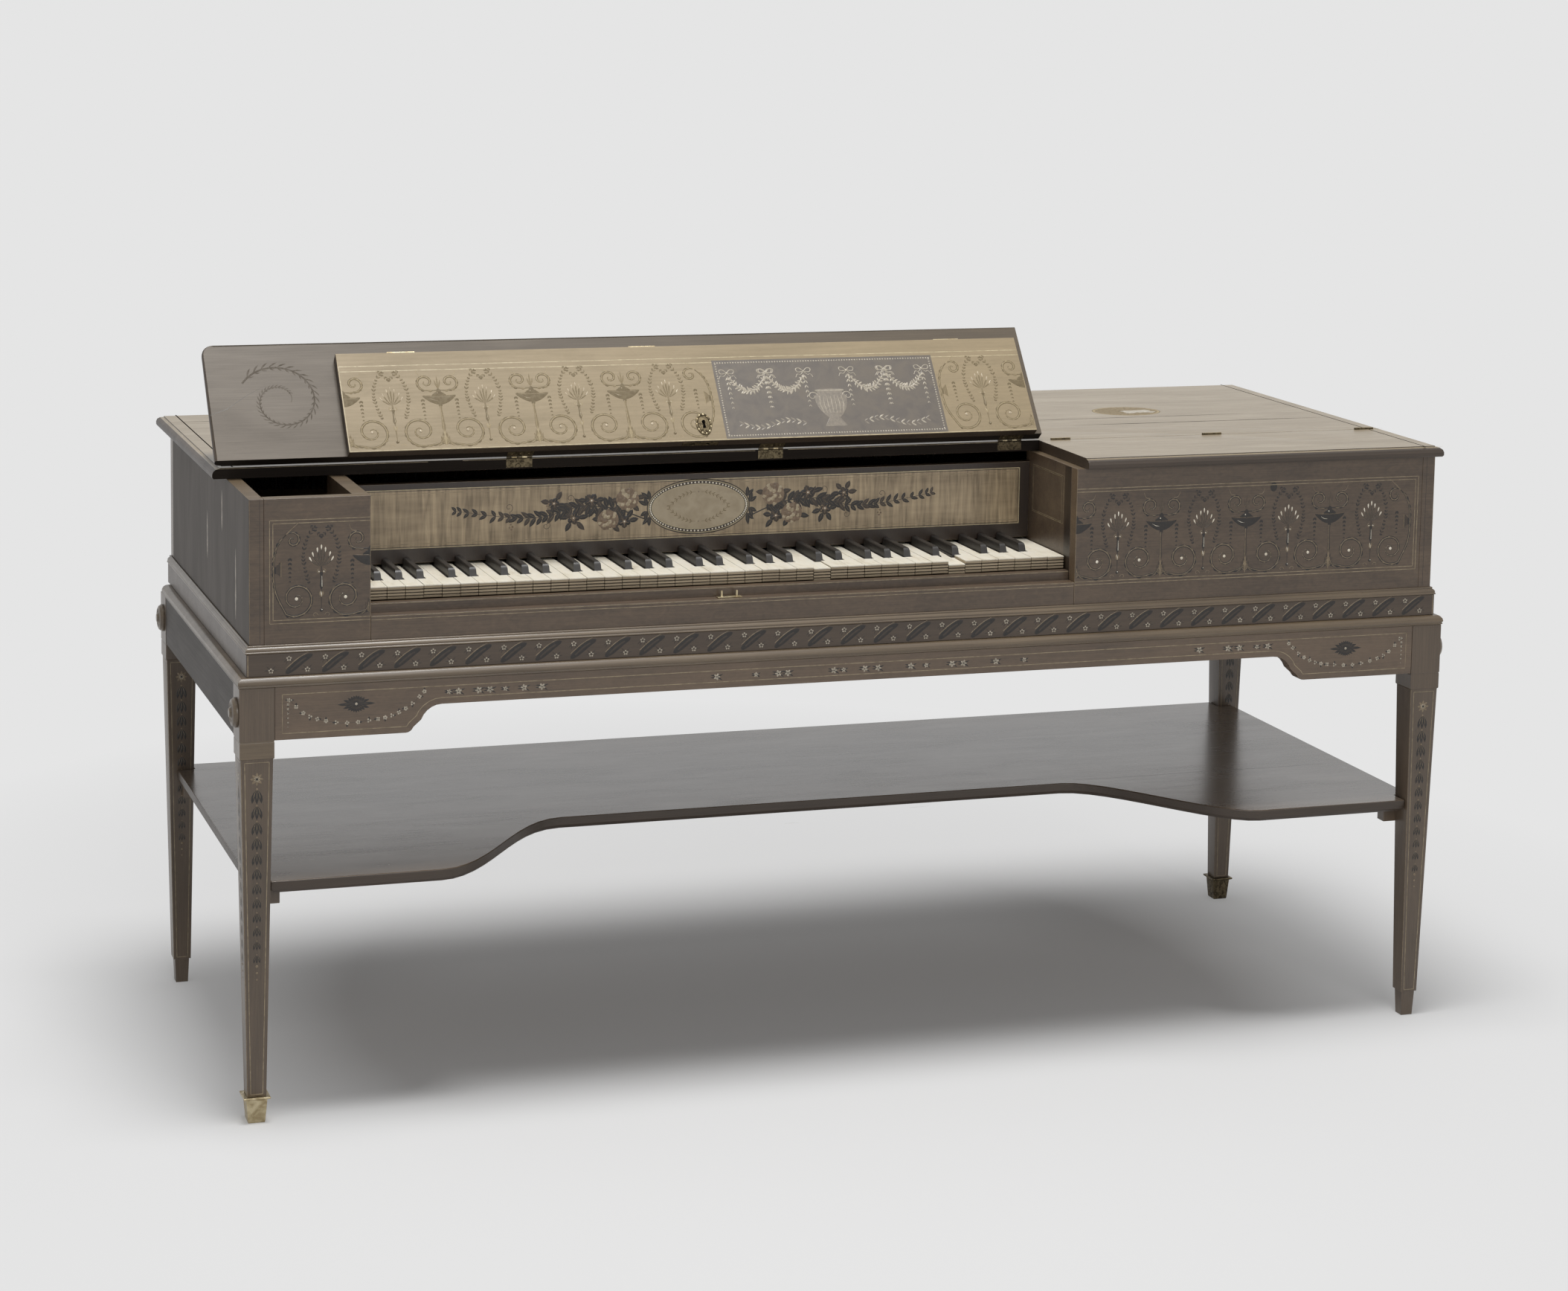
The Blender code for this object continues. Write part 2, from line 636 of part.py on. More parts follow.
def build_strings_side():
    """Belly rail, soundboard, bridge, wrest plank and hitch rail."""
    floor = FLOOR_TOP + FIT
    back = SPINE_FRONT - 2 * FIT
    wall = KEYWELL_RIGHT + CHEEK_THICKNESS
    start = NAMEBOARD_FRONT + NAMEBOARD_THICKNESS + 2 * FIT
    top = SOUNDBOARD_HEIGHT
    box("belly_rail", (KEYWELL_RIGHT, start, floor), (wall, back, top - FIT), "oak")
    right = CASE_LENGTH - WALL - 2 * FIT
    front = WALL + 2 * FIT
    low = (wall + FIT, front, top)
    box("soundboard", low, (right, back, top + SOUNDBOARD_THICKNESS), "spruce")
    strip = 0.060
    low = (right - strip, front, top + SOUNDBOARD_THICKNESS + FIT)
    box("hitch_rail", low, (right, back - 0.120, top + 0.017), "beech")
    bridge_low = top + SOUNDBOARD_THICKNESS + FIT
    spine_line = sweep((wall + 0.045, back - 0.150), (right - strip - 0.060, front + 0.060), 12)
    half = BRIDGE_WIDTH / 2
    outline = [(x - half, y - half) for x, y in spine_line]
    outline += [(x + half, y + half) for x, y in reversed(spine_line)]
    plan_outline("bridge", outline, bridge_low, bridge_low + BRIDGE_HEIGHT, "beech")
    plank_left = WALL + 2 * FIT
    plank_right = KEYWELL_RIGHT - FIT
    key_end = KEY_RECESS + KEY_LENGTH
    plan = [
        (plank_left, key_end - 0.075),
        (KEYWELL_LEFT - CHEEK_THICKNESS, key_end - 0.075),
        (plank_right, key_end + 0.012),
        (plank_right, back),
        (plank_left, back),
    ]
    plan_outline("wrest_plank", plan, top - 0.030, top + 0.004, "beech")


def build_action():
    """Key frame with its slip in front of the keys, and the hammer and damper rails."""
    start = KEYWELL_LEFT + 2 * FIT
    end = KEYWELL_RIGHT - 2 * FIT
    floor = FLOOR_TOP + FIT
    top = KEY_BOTTOM_HEIGHT - FIT
    base_top = floor + 0.014
    front = WALL + 2 * FIT
    key_end = KEY_RECESS + KEY_LENGTH
    foot = floor + 0.002
    slip_back = KEY_RECESS - SLIP_GAP
    rails = [
        ((start, front, foot), (end, KEY_RECESS + 0.022, LEDGE_HEIGHT - 0.004)),
        ((start, front, foot), (end, slip_back, KEY_BOTTOM_HEIGHT - 0.0010)),
        ((start, BALANCE_LINE - 0.012, foot), (end, BALANCE_LINE + 0.012, top - 0.002)),
        ((start, BALANCE_LINE - 0.004, foot), (end, BALANCE_LINE + 0.004, top)),
        ((start, key_end - 0.040, foot), (end, key_end - 0.012, top)),
    ]
    base = box("key_frame", (start, front, floor), (end, key_end, base_top), "oak")
    for count, (low, high) in enumerate(rails):
        helper = add_piece(f"key_rail_{count}", box_mesh("key_rail", low, high), None, helper=True)
        boolean(base, helper, "UNION")
    rail_low = KEY_TOP_HEIGHT + 0.012
    left = WALL + 2 * FIT
    box("hammer_rail", (left, 0.215, rail_low), (end, 0.235, rail_low + 0.016), "beech")
    damper_low = SOUNDBOARD_HEIGHT + 0.028
    box("damper_rail", (left, 0.200, damper_low), (end, 0.216, damper_low + 0.010), "beech")


def key_layout():
    """Every key from the left: its kind, head and tail limits, in metres from the case corner."""
    keys = []
    natural = 0
    for i in range(KEY_COUNT):
        place = i % 12
        octave_left = KEYBOARD_LEFT + (i // 12) * OCTAVE
        slot = (octave_left + place * SLOT, octave_left + (place + 1) * SLOT)
        if place in SHARP_PLACES:
            keys.append({"sharp": True, "head": slot, "tail": slot})
            continue
        head_left = KEYBOARD_LEFT + natural * NATURAL_PITCH
        head = (head_left, head_left + NATURAL_PITCH)
        sharp_before = i > 0 and (i - 1) % 12 in SHARP_PLACES
        sharp_after = i + 1 < KEY_COUNT and (i + 1) % 12 in SHARP_PLACES
        tail = (slot[0] if sharp_before else head[0], slot[1] if sharp_after else head[1])
        keys.append({"sharp": False, "head": head, "tail": tail})
        natural += 1
    return keys


def natural_plan(key, back):
    """Plan of a natural: a wide head, and a tail that runs back between the sharps."""
    half = KEY_GAP / 2
    front = KEY_RECESS
    shoulder = front + HEAD_LENGTH
    left, right = key["head"][0] + half, key["head"][1] - half
    tail_left, tail_right = key["tail"][0] + half, key["tail"][1] - half
    points = [(left, front), (right, front)]
    if tail_right < right - 1e-6:
        points += [(right, shoulder), (tail_right, shoulder)]
    points += [(tail_right, back), (tail_left, back)]
    if tail_left > left + 1e-6:
        points += [(tail_left, shoulder), (left, shoulder)]
    return points


def sharp_plan(key, back):
    """Plan of a sharp's lever, just behind the natural heads."""
    half = KEY_GAP / 2
    front = KEY_RECESS + HEAD_LENGTH + KEY_GAP
    left, right = key["tail"][0] + half, key["tail"][1] - half
    return [(left, front), (right, front), (right, back), (left, back)]


def sharp_cap_rings(key, pivot):
    """Rings of a sharp's cap: bevelled at the front and along both sides."""
    middle = (key["tail"][0] + key["tail"][1]) / 2
    front = KEY_RECESS + HEAD_LENGTH + 3 * KEY_GAP
    back = NAMEBOARD_FRONT - 0.0020
    low = KEY_TOP_HEIGHT - 0.0010
    rings = []
    for z, inset, lean in ((low, 0.0, 0.0), (low + 0.0090, 0.0004, 0.0030), (low + 0.0120, 0.0012, 0.0065)):
        half = SHARP_WIDTH / 2 - inset
        plan = [(middle - half, front + lean), (middle + half, front + lean), (middle + half, back), (middle - half, back)]
        rings.append([(x - pivot[0], y - pivot[1], z - pivot[2]) for x, y in plan])
    return rings


def joined_rings(name, stacks):
    """Mesh of several separate lofts, one for each stack of rings."""
    whole = bmesh.new()
    for count, rings in enumerate(stacks):
        part = ring_loft(f"{name}_{count}", rings)
        whole.from_mesh(part)
        bpy.data.meshes.remove(part)
    mesh = bpy.data.meshes.new(name)
    whole.to_mesh(mesh)
    whole.free()
    return mesh


def bank_plan(keys, slab):
    """Comb outline of many keys, slit between neighbours back to a common slab."""
    half = KEY_GAP / 2
    shoulder = KEY_RECESS + HEAD_LENGTH
    points = []
    for count, key in enumerate(keys):
        if key["sharp"]:
            front = shoulder + KEY_GAP
            left, right = key["tail"][0] + half, key["tail"][1] - half
            points += [(left, slab), (left, front), (right, front), (right, slab)]
            continue
        left, right = key["head"][0] + half, key["head"][1] - half
        tail_left, tail_right = key["tail"][0] + half, key["tail"][1] - half
        if count:
            points.append((tail_left, slab))
        if tail_left > left + 1e-6:
            points += [(tail_left, shoulder), (left, shoulder)]
        points += [(left, KEY_RECESS), (right, KEY_RECESS)]
        if tail_right < right - 1e-6:
            points += [(right, shoulder), (tail_right, shoulder)]
        if count < len(keys) - 1:
            points.append((tail_right, slab))
    back = KEY_RECESS + KEY_LENGTH
    last = keys[-1]["tail"][1] - half
    first = keys[0]["tail"][0] + half
    return points + [(last, back), (first, back)]


def build_keyboard():
    """Lower keys as one joined bank, and the top octave as separate keys on its own axes."""
    keys = key_layout()
    pivot = (0.0, BALANCE_LINE, KEY_BOTTOM_HEIGHT)
    bank = keys[: KEY_COUNT - SEPARATE_KEYS]
    slab = NAMEBOARD_FRONT + 0.012
    place = empty("key_bank_axis", pivot, CORNER)
    back = KEY_RECESS + KEY_LENGTH
    piece = plan_outline(
        "key_bank", bank_plan(bank, slab), KEY_BOTTOM_HEIGHT, KEY_TOP_HEIGHT, "ivory", pivot, place
    )
    bpy.context.view_layer.update()
    piece = as_mesh(piece)
    caps = joined_rings("bank_caps", [sharp_cap_rings(key, pivot) for key in bank if key["sharp"]])
    helper = add_piece("bank_caps", caps, None, parent=place, helper=True)
    boolean(piece, helper, "UNION")
    names = ("c", "c_sharp", "d", "d_sharp", "e", "f", "f_sharp", "g", "g_sharp", "a", "a_sharp", "b", "top_c")
    sunk = math.degrees(math.asin(SUNK_KEY_DROP / BALANCE_FROM_FRONT))
    for name, key in zip(names, keys[KEY_COUNT - SEPARATE_KEYS :]):
        turn = sunk if name == "d" else 0.0
        axis = empty(f"key_{name}_axis", pivot, CORNER, turn)
        if not key["sharp"]:
            plan_outline(
                f"key_{name}", natural_plan(key, back), KEY_BOTTOM_HEIGHT, KEY_TOP_HEIGHT, "ivory", pivot, axis
            )
            continue
        plan = sharp_plan(key, back)
        low = (plan[0][0], plan[0][1], KEY_BOTTOM_HEIGHT)
        high = (plan[1][0], back, KEY_TOP_HEIGHT - 0.0005)
        lever = box(f"key_{name}", low, high, "ebony", pivot, axis)
        cap = joined_rings(f"{name}_cap", [sharp_cap_rings(key, pivot)])
        boolean(lever, add_piece(f"{name}_cap", cap, None, parent=axis, helper=True), "UNION")


def hinge_places():
    """Middles of the three butt hinges between the main lid and the front flap."""
    start = LID_SPLIT + 0.031
    end = CASE_LENGTH - 0.025
    return [start, (start + end) / 2 - 0.004, end]


def knuckle_mesh(name, radius, length):
    """Cylinder along x, round the hinge line."""
    shape = bmesh.new()
    turn = Matrix.Rotation(math.pi / 2, 4, "Y")
    bmesh.ops.create_cone(
        shape, cap_ends=True, segments=12, radius1=radius, radius2=radius, depth=length, matrix=turn
    )
    mesh = bpy.data.meshes.new(name)
    shape.to_mesh(mesh)
    shape.free()
    return mesh


def build_lid():
    """Main lid, front flap over the right block, hinged leaf over the keys, and lock board."""
    axis_y = CASE_DEPTH + 0.0015
    lid_axis = empty("lid_axis", (0, axis_y, RIM_HEIGHT), CORNER)
    pivot = (0, axis_y, RIM_HEIGHT)
    low = (-LID_LEFT_OVERHANG, HINGE_LINE + BOARD_PLAY, LID_BOTTOM)
    high = (CASE_LENGTH + LID_RIGHT_OVERHANG, CASE_DEPTH + LID_BACK_OVERHANG, LID_TOP)
    lid = moulded_board("lid_main", low, high, ("left", "right", "back"), "satinwood", pivot, lid_axis)
    flap_pivot = (0, HINGE_LINE, HINGE_HEIGHT)
    flap_axis = empty("flap_axis", Vector(flap_pivot) - Vector(pivot), lid_axis)
    low = (LID_SPLIT, -LID_FRONT_OVERHANG, LID_BOTTOM)
    high = (CASE_LENGTH + LID_RIGHT_OVERHANG, HINGE_LINE - BOARD_PLAY, LID_TOP)
    flap = moulded_board("lid_flap", low, high, ("right", "front"), "satinwood", flap_pivot, flap_axis)
    length = KNUCKLE_LENGTH
    for count, x in enumerate(hinge_places()):
        name = f"flap_hinge_{count + 1}"
        knuckle = knuckle_mesh(name, KNUCKLE_RADIUS, length)
        add_piece(name, knuckle, "brass", (x, flap_axis.location.y, flap_axis.location.z), lid_axis)
        room = knuckle_mesh(name + "_room", KNUCKLE_RADIUS + FIT, length + 2 * FIT)
        for board, spot in ((lid, flap_axis.location), (flap, Vector((0, 0, 0)))):
            holder = lid_axis if board is lid else flap_axis
            place = (x, spot[1], spot[2])
            boolean(board, add_piece(f"{name}_room_{board.name}", room, None, place, holder, True), "DIFFERENCE")
    build_leaf(lid_axis, pivot)


def build_leaf(lid_axis, lid_pivot):
    """Leaf over the keywell, standing open, with the lock board folded on its under side."""
    pivot = (0, HINGE_LINE, HINGE_HEIGHT)
    leaf_axis = empty("leaf_axis", Vector(pivot) - Vector(lid_pivot), lid_axis, -LEAF_OPEN_ANGLE)
    low = (-LID_LEFT_OVERHANG + 0.0015, -LID_FRONT_OVERHANG, LID_BOTTOM)
    high = (LID_SPLIT - SWING, HINGE_LINE - BOARD_PLAY, LID_TOP)
    moulded_board("lid_leaf", low, high, ("left", "front"), "satinwood", pivot, leaf_axis)
    face = LOCK_BOARD_SETBACK
    back = face + LOCK_BOARD_THICKNESS
    top = LID_BOTTOM - BOARD_PLAY
    foot = top - LOCK_BOARD_HEIGHT
    corner = (0, back, top)
    board_axis = empty("lock_board_axis", Vector(corner) - Vector(pivot), leaf_axis, 90)
    low = (KEYWELL_LEFT + SWING, face, foot)
    high = (KEYWELL_RIGHT - SWING, back, top)
    board = box("lock_board", low, high, "satinwood", corner, board_axis)
    left = LOCK_CENTRE - LOCK_WIDTH / 2
    right = LOCK_CENTRE + LOCK_WIDTH / 2
    lock_low = (left, POST_LINE - 0.0042, foot)
    lock_high = (right, back - FIT, foot + LOCK_DEPTH)
    mortise_low = (left - FIT, lock_low[1] - FIT, foot - 0.001)
    mortise_high = (right + FIT, back + 0.001, lock_high[2] + FIT)
    mortise = box_mesh("lock_mortise", mortise_low, mortise_high, corner)
    boolean(board, add_piece("lock_mortise", mortise, None, parent=board_axis, helper=True), "DIFFERENCE")
    lock = box("lock", lock_low, lock_high, "brass", corner, board_axis)
    hole = POST_WIDTH / 2 + SWING
    holes = []
    for side in (-0.5, 0.5):
        x = LOCK_CENTRE + side * POST_SPREAD
        holes.append(((x - hole, POST_LINE - hole, foot - 0.001), (x + hole, POST_LINE + hole, foot + 0.0085)))
    lock_holes = boxes_mesh("lock_holes", holes, corner)
    boolean(lock, add_piece("lock_holes", lock_holes, None, parent=board_axis, helper=True), "DIFFERENCE")
    build_escutcheon(board_axis, corner, foot, face)


def build_escutcheon(board_axis, corner, foot, face):
    """Oval brass plate with a keyhole, on the lock board's outer face."""
    centre_x = LOCK_CENTRE + 0.0070
    centre_z = foot + 0.0245
    thickness = 0.0012
    curve = bpy.data.curves.new("escutcheon", "CURVE")
    curve.dimensions = "2D"
    curve.fill_mode = "BOTH"
    curve.extrude = thickness / 2
    oval = [(0.0105 * math.cos(a), 0.0160 * math.sin(a)) for a in (math.radians(15 * i) for i in range(24))]
    keyhole = [(-0.0011, 0.0065), (0.0011, 0.0065)]
    keyhole += arc((0.0, -0.0010), 0.0024, 60, -240, 10)
    for points in (oval, keyhole):
        spline = curve.splines.new("POLY")
        spline.points.add(len(points) - 1)
        for knot, (x, z) in zip(spline.points, points):
            knot.co = (x, z, 0.0, 1.0)
        spline.use_cyclic_u = True
    place = (centre_x, face - FIT - thickness / 2 - corner[1], centre_z - corner[2])
    piece = add_piece("escutcheon", curve, "brass", place, board_axis)
    piece.rotation_euler = (math.pi / 2, 0, 0)


def smooth_round_pieces():
    """Shade the turned pieces smooth where they are round."""
    for piece in PARTS.objects:
        if piece.type == "MESH" and piece.name.startswith("flap_hinge"):
            piece.data.shade_smooth()


clear_scene()
PARTS = bpy.data.collections.new("square_piano")
CUTTERS = bpy.data.collections.new("cutters")
bpy.context.scene.collection.children.link(PARTS)
bpy.context.scene.collection.children.link(CUTTERS)
MATERIALS = {name: make_material(name) for name in FINISHES}
MATERIALS[None] = None
CORNER = empty("case_corner", (-CASE_LENGTH / 2, -MIDDLE_DEPTH, 0.0))

build_legs()
build_rails()
build_stand_moulding()
build_shelf()
build_rosettes()
build_case_shell()
build_catch()
build_case_trim()
build_strings_side()
build_action()
build_keyboard()
build_lid()
smooth_round_pieces()
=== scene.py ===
"""Finished look of a painted and inlaid square piano on its stand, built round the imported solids.

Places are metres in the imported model's frame: x runs from bass to treble, y from the player to
the spine, z is the height over the floor. Ornament is laid out in millimetres on each board's
own face, across and up from the face's corner.
"""

import json
import logging
import random
from dataclasses import dataclass
from enum import Enum
from math import atan2, copysign, cos, degrees, hypot, pi, radians, sin, sqrt

import bmesh
import bpy
from mathutils import Matrix, Vector


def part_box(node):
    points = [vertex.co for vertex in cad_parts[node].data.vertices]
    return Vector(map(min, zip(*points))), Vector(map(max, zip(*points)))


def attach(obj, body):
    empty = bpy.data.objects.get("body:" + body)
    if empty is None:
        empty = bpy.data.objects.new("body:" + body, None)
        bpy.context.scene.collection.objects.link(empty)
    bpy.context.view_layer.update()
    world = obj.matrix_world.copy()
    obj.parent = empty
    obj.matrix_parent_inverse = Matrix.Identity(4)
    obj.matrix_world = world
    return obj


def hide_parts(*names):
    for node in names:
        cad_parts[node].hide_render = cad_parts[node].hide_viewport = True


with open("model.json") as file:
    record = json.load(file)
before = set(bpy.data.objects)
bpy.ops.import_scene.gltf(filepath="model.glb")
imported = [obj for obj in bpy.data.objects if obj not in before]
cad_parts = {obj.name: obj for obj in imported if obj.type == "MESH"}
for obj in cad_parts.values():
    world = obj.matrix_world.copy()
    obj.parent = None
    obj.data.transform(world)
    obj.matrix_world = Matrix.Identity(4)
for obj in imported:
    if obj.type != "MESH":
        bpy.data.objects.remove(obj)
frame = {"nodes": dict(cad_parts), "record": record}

LOG = logging.getLogger("square_piano")
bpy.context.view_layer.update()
MM = 0.001
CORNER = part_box("case_left_end")[0]
ALONG = Vector((1.0, 0.0, 0.0))
BACK = Vector((0.0, 1.0, 0.0))
UPRIGHT = Vector((0.0, 0.0, 1.0))
SCREW_STEPS = (-11.0, 0.0, 11.0)

Point2 = tuple[float, float]
Path = list[Point2]
Span = tuple[float, float]
Material = bpy.types.Material
Tree = bpy.types.NodeTree
Socket = bpy.types.NodeSocket


def linear(colour: str) -> tuple[float, float, float, float]:
    """Turn an sRGB hex colour into linear values.

    Args:
        colour: six hex digits after a hash.

    Returns:
        Linear red, green and blue, and an alpha of one.
    """
    parts = [int(colour[i : i + 2], 16) / 255 for i in (1, 3, 5)]
    parts = [p / 12.92 if p <= 0.04045 else ((p + 0.055) / 1.055) ** 2.4 for p in parts]
    return (parts[0], parts[1], parts[2], 1.0)


def add_node(tree: Tree, kind: str, settings: dict, links: dict | None = None) -> bpy.types.Node:
    """Add a node with its settings and links.

    Args:
        tree: the material's node tree.
        kind: the node's type, such as ShaderNodeMath.
        settings: the node's properties and input values, by name or by input number.
        links: sockets that feed the inputs, by input name or number.

    Returns:
        The new node.
    """
    node = tree.nodes.new(kind)
    for key, value in settings.items():
        if isinstance(key, str) and hasattr(node, key):
            setattr(node, key, value)
        else:
            node.inputs[key].default_value = value
    for key, source in (links or {}).items():
        tree.links.new(source, node.inputs[key])
    return node


class Run(Enum):
    """Direction that a board's fibres run in."""

    LENGTH = 0
    DEPTH = 1
    HEIGHT = 2


class Figure(Enum):
    """Figure of a veneer over its plain grain."""

    PLAIN = "plain"
    MOTTLE = "mottle"
    CURL = "curl"


@dataclass(frozen=True)
class Finish:
    """What every finish has: a name, the record's material slot, and a Principled shader."""

    name: str
    slot: str

    def shader(self) -> tuple[Material, Tree, bpy.types.Node]:
        """Start the material.

        Returns:
            The material, its node tree and its Principled shader.
        """
        material = bpy.data.materials.new(self.name)
        material.use_nodes = True
        tree = material.node_tree
        return material, tree, tree.nodes["Principled BSDF"]

    def noise(self, tree: Tree, size: tuple[float, float, float], detail: float, bend: float) -> Socket:
        """Add a noise whose grains have a real size.

        Args:
            tree: the material's node tree.
            size: length of a grain along x, y and z, in millimetres.
            detail: the noise's octaves.
            bend: the noise's distortion.

        Returns:
            The noise's value.
        """
        spot = add_node(tree, "ShaderNodeTexCoord", {})
        scale = tuple(1000 / length for length in size)
        mapped = add_node(tree, "ShaderNodeMapping", {"Scale": scale}, {"Vector": spot.outputs["Object"]})
        settings = {"Scale": 1.0, "Detail": detail, "Distortion": bend}
        return add_node(tree, "ShaderNodeTexNoise", settings, {"Vector": mapped.outputs[0]}).outputs[0]

    def mixed(self, tree: Tree, parts: list[tuple[Socket, float]]) -> Socket:
        """Add noises up by weight, round a middle of one half.

        Args:
            tree: the material's node tree.
            parts: each noise with its weight.

        Returns:
            The sum.
        """
        middle = 0.5 - sum(weight for _, weight in parts) / 2
        total = None
        for source, weight in parts:
            settings = {"operation": "MULTIPLY_ADD", 1: weight, 2: middle}
            links = {0: source}
            if total is not None:
                links[2] = total
            total = add_node(tree, "ShaderNodeMath", settings, links).outputs[0]
        return total

    def ramp(self, tree: Tree, source: Socket, stops: list[tuple[float, str]]) -> Socket:
        """Turn a value into a colour.

        Args:
            tree: the material's node tree.
            source: the value.
            stops: places from zero to one, with hex colours.

        Returns:
            The colour.
        """
        node = add_node(tree, "ShaderNodeValToRGB", {}, {0: source})
        band = node.color_ramp
        band.elements[0].position, band.elements[1].position = stops[0][0], stops[-1][0]
        band.elements[0].color, band.elements[1].color = linear(stops[0][1]), linear(stops[-1][1])
        for place, colour in stops[1:-1]:
            band.elements.new(place).color = linear(colour)
        return node.outputs[0]

    def spread(self, tree: Tree, source: Socket, low: float, high: float) -> Socket:
        """Map a value round one half onto a range.

        Args:
            tree: the material's node tree.
            source: the value.
            low: what 0.3 becomes.
            high: what 0.7 becomes.

        Returns:
            The mapped value.
        """
        settings = {"From Min": 0.3, "From Max": 0.7, "To Min": low, "To Max": high}
        return add_node(tree, "ShaderNodeMapRange", settings, {0: source}).outputs[0]

    def bump(self, tree: Tree, shader: bpy.types.Node, source: Socket, depth: float) -> None:
        """Raise the surface by a value.

        Args:
            tree: the material's node tree.
            shader: the Principled shader.
            source: the height, from zero to one.
            depth: the full height in millimetres.
        """
        settings = {"Strength": 0.6, "Distance": depth * MM}
        node = add_node(tree, "ShaderNodeBump", settings, {"Height": source})
        tree.links.new(node.outputs[0], shader.inputs["Normal"])

    def feed(self, tree: Tree, shader: bpy.types.Node, links: dict[str, Socket], values: dict) -> None:
        """Link sockets to the shader, and set on it what is the same all over.

        Args:
            tree: the material's node tree.
            shader: the Principled shader.
            links: sockets by the input's name.
            values: plain values by the input's name.
        """
        for key, source in links.items():
            tree.links.new(source, shader.inputs[key])
        for key, value in values.items():
            shader.inputs[key].default_value = value


@dataclass(frozen=True)
class Wood(Finish):
    """Planed, scraped and varnished or waxed wood: long fibres, broad patches, pores and a figure."""

    dark: str
    light: str
    run: Run = Run.LENGTH
    figure: Figure = Figure.PLAIN
    roughness: float = 0.4
    polish: float = 0.25
    fibre_mm: float = 1.6
    figure_weight: float = 0.5
    pore_depth: float = 0.35
    gloss: float = 0.5

    def grain(self, along: float, across: float) -> tuple[float, float, float]:
        """Size of a grain that follows the fibres, in millimetres along x, y and z."""
        return tuple(along if axis is self.run else across for axis in Run)

    def build(self) -> Material:
        """Make the material.

        Returns:
            A wood with its fibres at their real width.
        """
        material, tree, shader = self.shader()
        fibres = self.noise(tree, self.grain(70, self.fibre_mm), 4.0, 0.3)
        patches = self.noise(tree, self.grain(180, 45), 3.0, 0.8)
        parts = [(fibres, 0.45), (patches, 0.55)]
        if self.figure is Figure.MOTTLE:
            parts.append((self.noise(tree, self.grain(16, 9), 5.0, 1.4), self.figure_weight))
        if self.figure is Figure.CURL:
            parts.append((self.noise(tree, self.grain(5.5, 60), 2.0, 0.5), self.figure_weight))
        tone = self.mixed(tree, parts)
        colour = self.ramp(tree, tone, [(0.22, self.dark), (0.78, self.light)])
        pores = self.noise(tree, self.grain(9, 0.5), 2.0, 0.0)
        settings = {"From Min": 0.60, "From Max": 0.72, "To Min": 0.0, "To Max": self.pore_depth}
        cut = add_node(tree, "ShaderNodeMapRange", settings, {0: pores}).outputs[0]
        shade = {"data_type": "RGBA", "blend_type": "MULTIPLY", 7: (0.25, 0.22, 0.2, 1.0)}
        darkened = add_node(tree, "ShaderNodeMix", shade, {0: cut, 6: colour}).outputs[2]
        dull = self.spread(tree, tone, self.roughness + 0.06, self.roughness - 0.04)
        values = {"Specular IOR Level": self.gloss, "Coat Weight": self.polish, "Coat Roughness": 0.22}
        self.feed(tree, shader, {"Base Color": darkened, "Roughness": dull}, values)
        self.bump(tree, shader, fibres, 0.05)
        return material


@dataclass(frozen=True)
class Pigment(Finish):
    """Oil paint or inlaid veneer under varnish: one colour that drifts a little."""

    colour: str
    shade: str
    roughness: float = 0.42
    grain_mm: float = 4.0
    varnish: float = 0.15
    gloss: float = 0.5

    def build(self) -> Material:
        """Make the material.

        Returns:
            A colour with small uneven patches.
        """
        material, tree, shader = self.shader()
        patches = self.noise(tree, (self.grain_mm,) * 3, 4.0, 0.6)
        colour = self.ramp(tree, patches, [(0.35, self.shade), (0.65, self.colour)])
        dull = self.spread(tree, patches, self.roughness + 0.1, self.roughness - 0.08)
        values = {"Coat Weight": self.varnish, "Specular IOR Level": self.gloss}
        self.feed(tree, shader, {"Base Color": colour, "Roughness": dull}, values)
        self.bump(tree, shader, patches, 0.02)
        return material


@dataclass(frozen=True)
class Metal(Finish):
    """Cast or drawn metal with tarnish in patches and rubbed bright elsewhere."""

    bright: str
    tarnish: str
    roughness: float = 0.3
    patch_mm: float = 5.0

    def build(self) -> Material:
        """Make the material.

        Returns:
            A metal whose tarnish is darker and duller.
        """
        material, tree, shader = self.shader()
        patches = self.noise(tree, (self.patch_mm,) * 3, 6.0, 1.0)
        colour = self.ramp(tree, patches, [(0.36, self.tarnish), (0.62, self.bright)])
        dull = self.spread(tree, patches, self.roughness + 0.22, self.roughness - 0.08)
        self.feed(tree, shader, {"Base Color": colour, "Roughness": dull}, {"Metallic": 1.0})
        self.bump(tree, shader, patches, 0.04)
        return material


@dataclass(frozen=True)
class Ivory(Finish):
    """Sawn and polished ivory facing: pale, with fine lines along it and yellow patches."""

    def build(self) -> Material:
        """Make the material.

        Returns:
            An ivory whose lines run along the key.
        """
        material, tree, shader = self.shader()
        lines = self.noise(tree, (0.9, 60, 60), 3.0, 0.2)
        patches = self.noise(tree, (17, 40, 40), 3.0, 0.5)
        tone = self.mixed(tree, [(lines, 0.35), (patches, 0.9)])
        colour = self.ramp(tree, tone, [(0.25, "#C6BDA9"), (0.45, "#DED7C6"), (0.8, "#EAE5D8")])
        values = {
            "Subsurface Weight": 0.08, "Subsurface Radius": (0.004, 0.003, 0.002), "Subsurface Scale": 0.5,
        }
        links = {"Base Color": colour, "Roughness": self.spread(tree, tone, 0.42, 0.28)}
        self.feed(tree, shader, links, values)
        return material


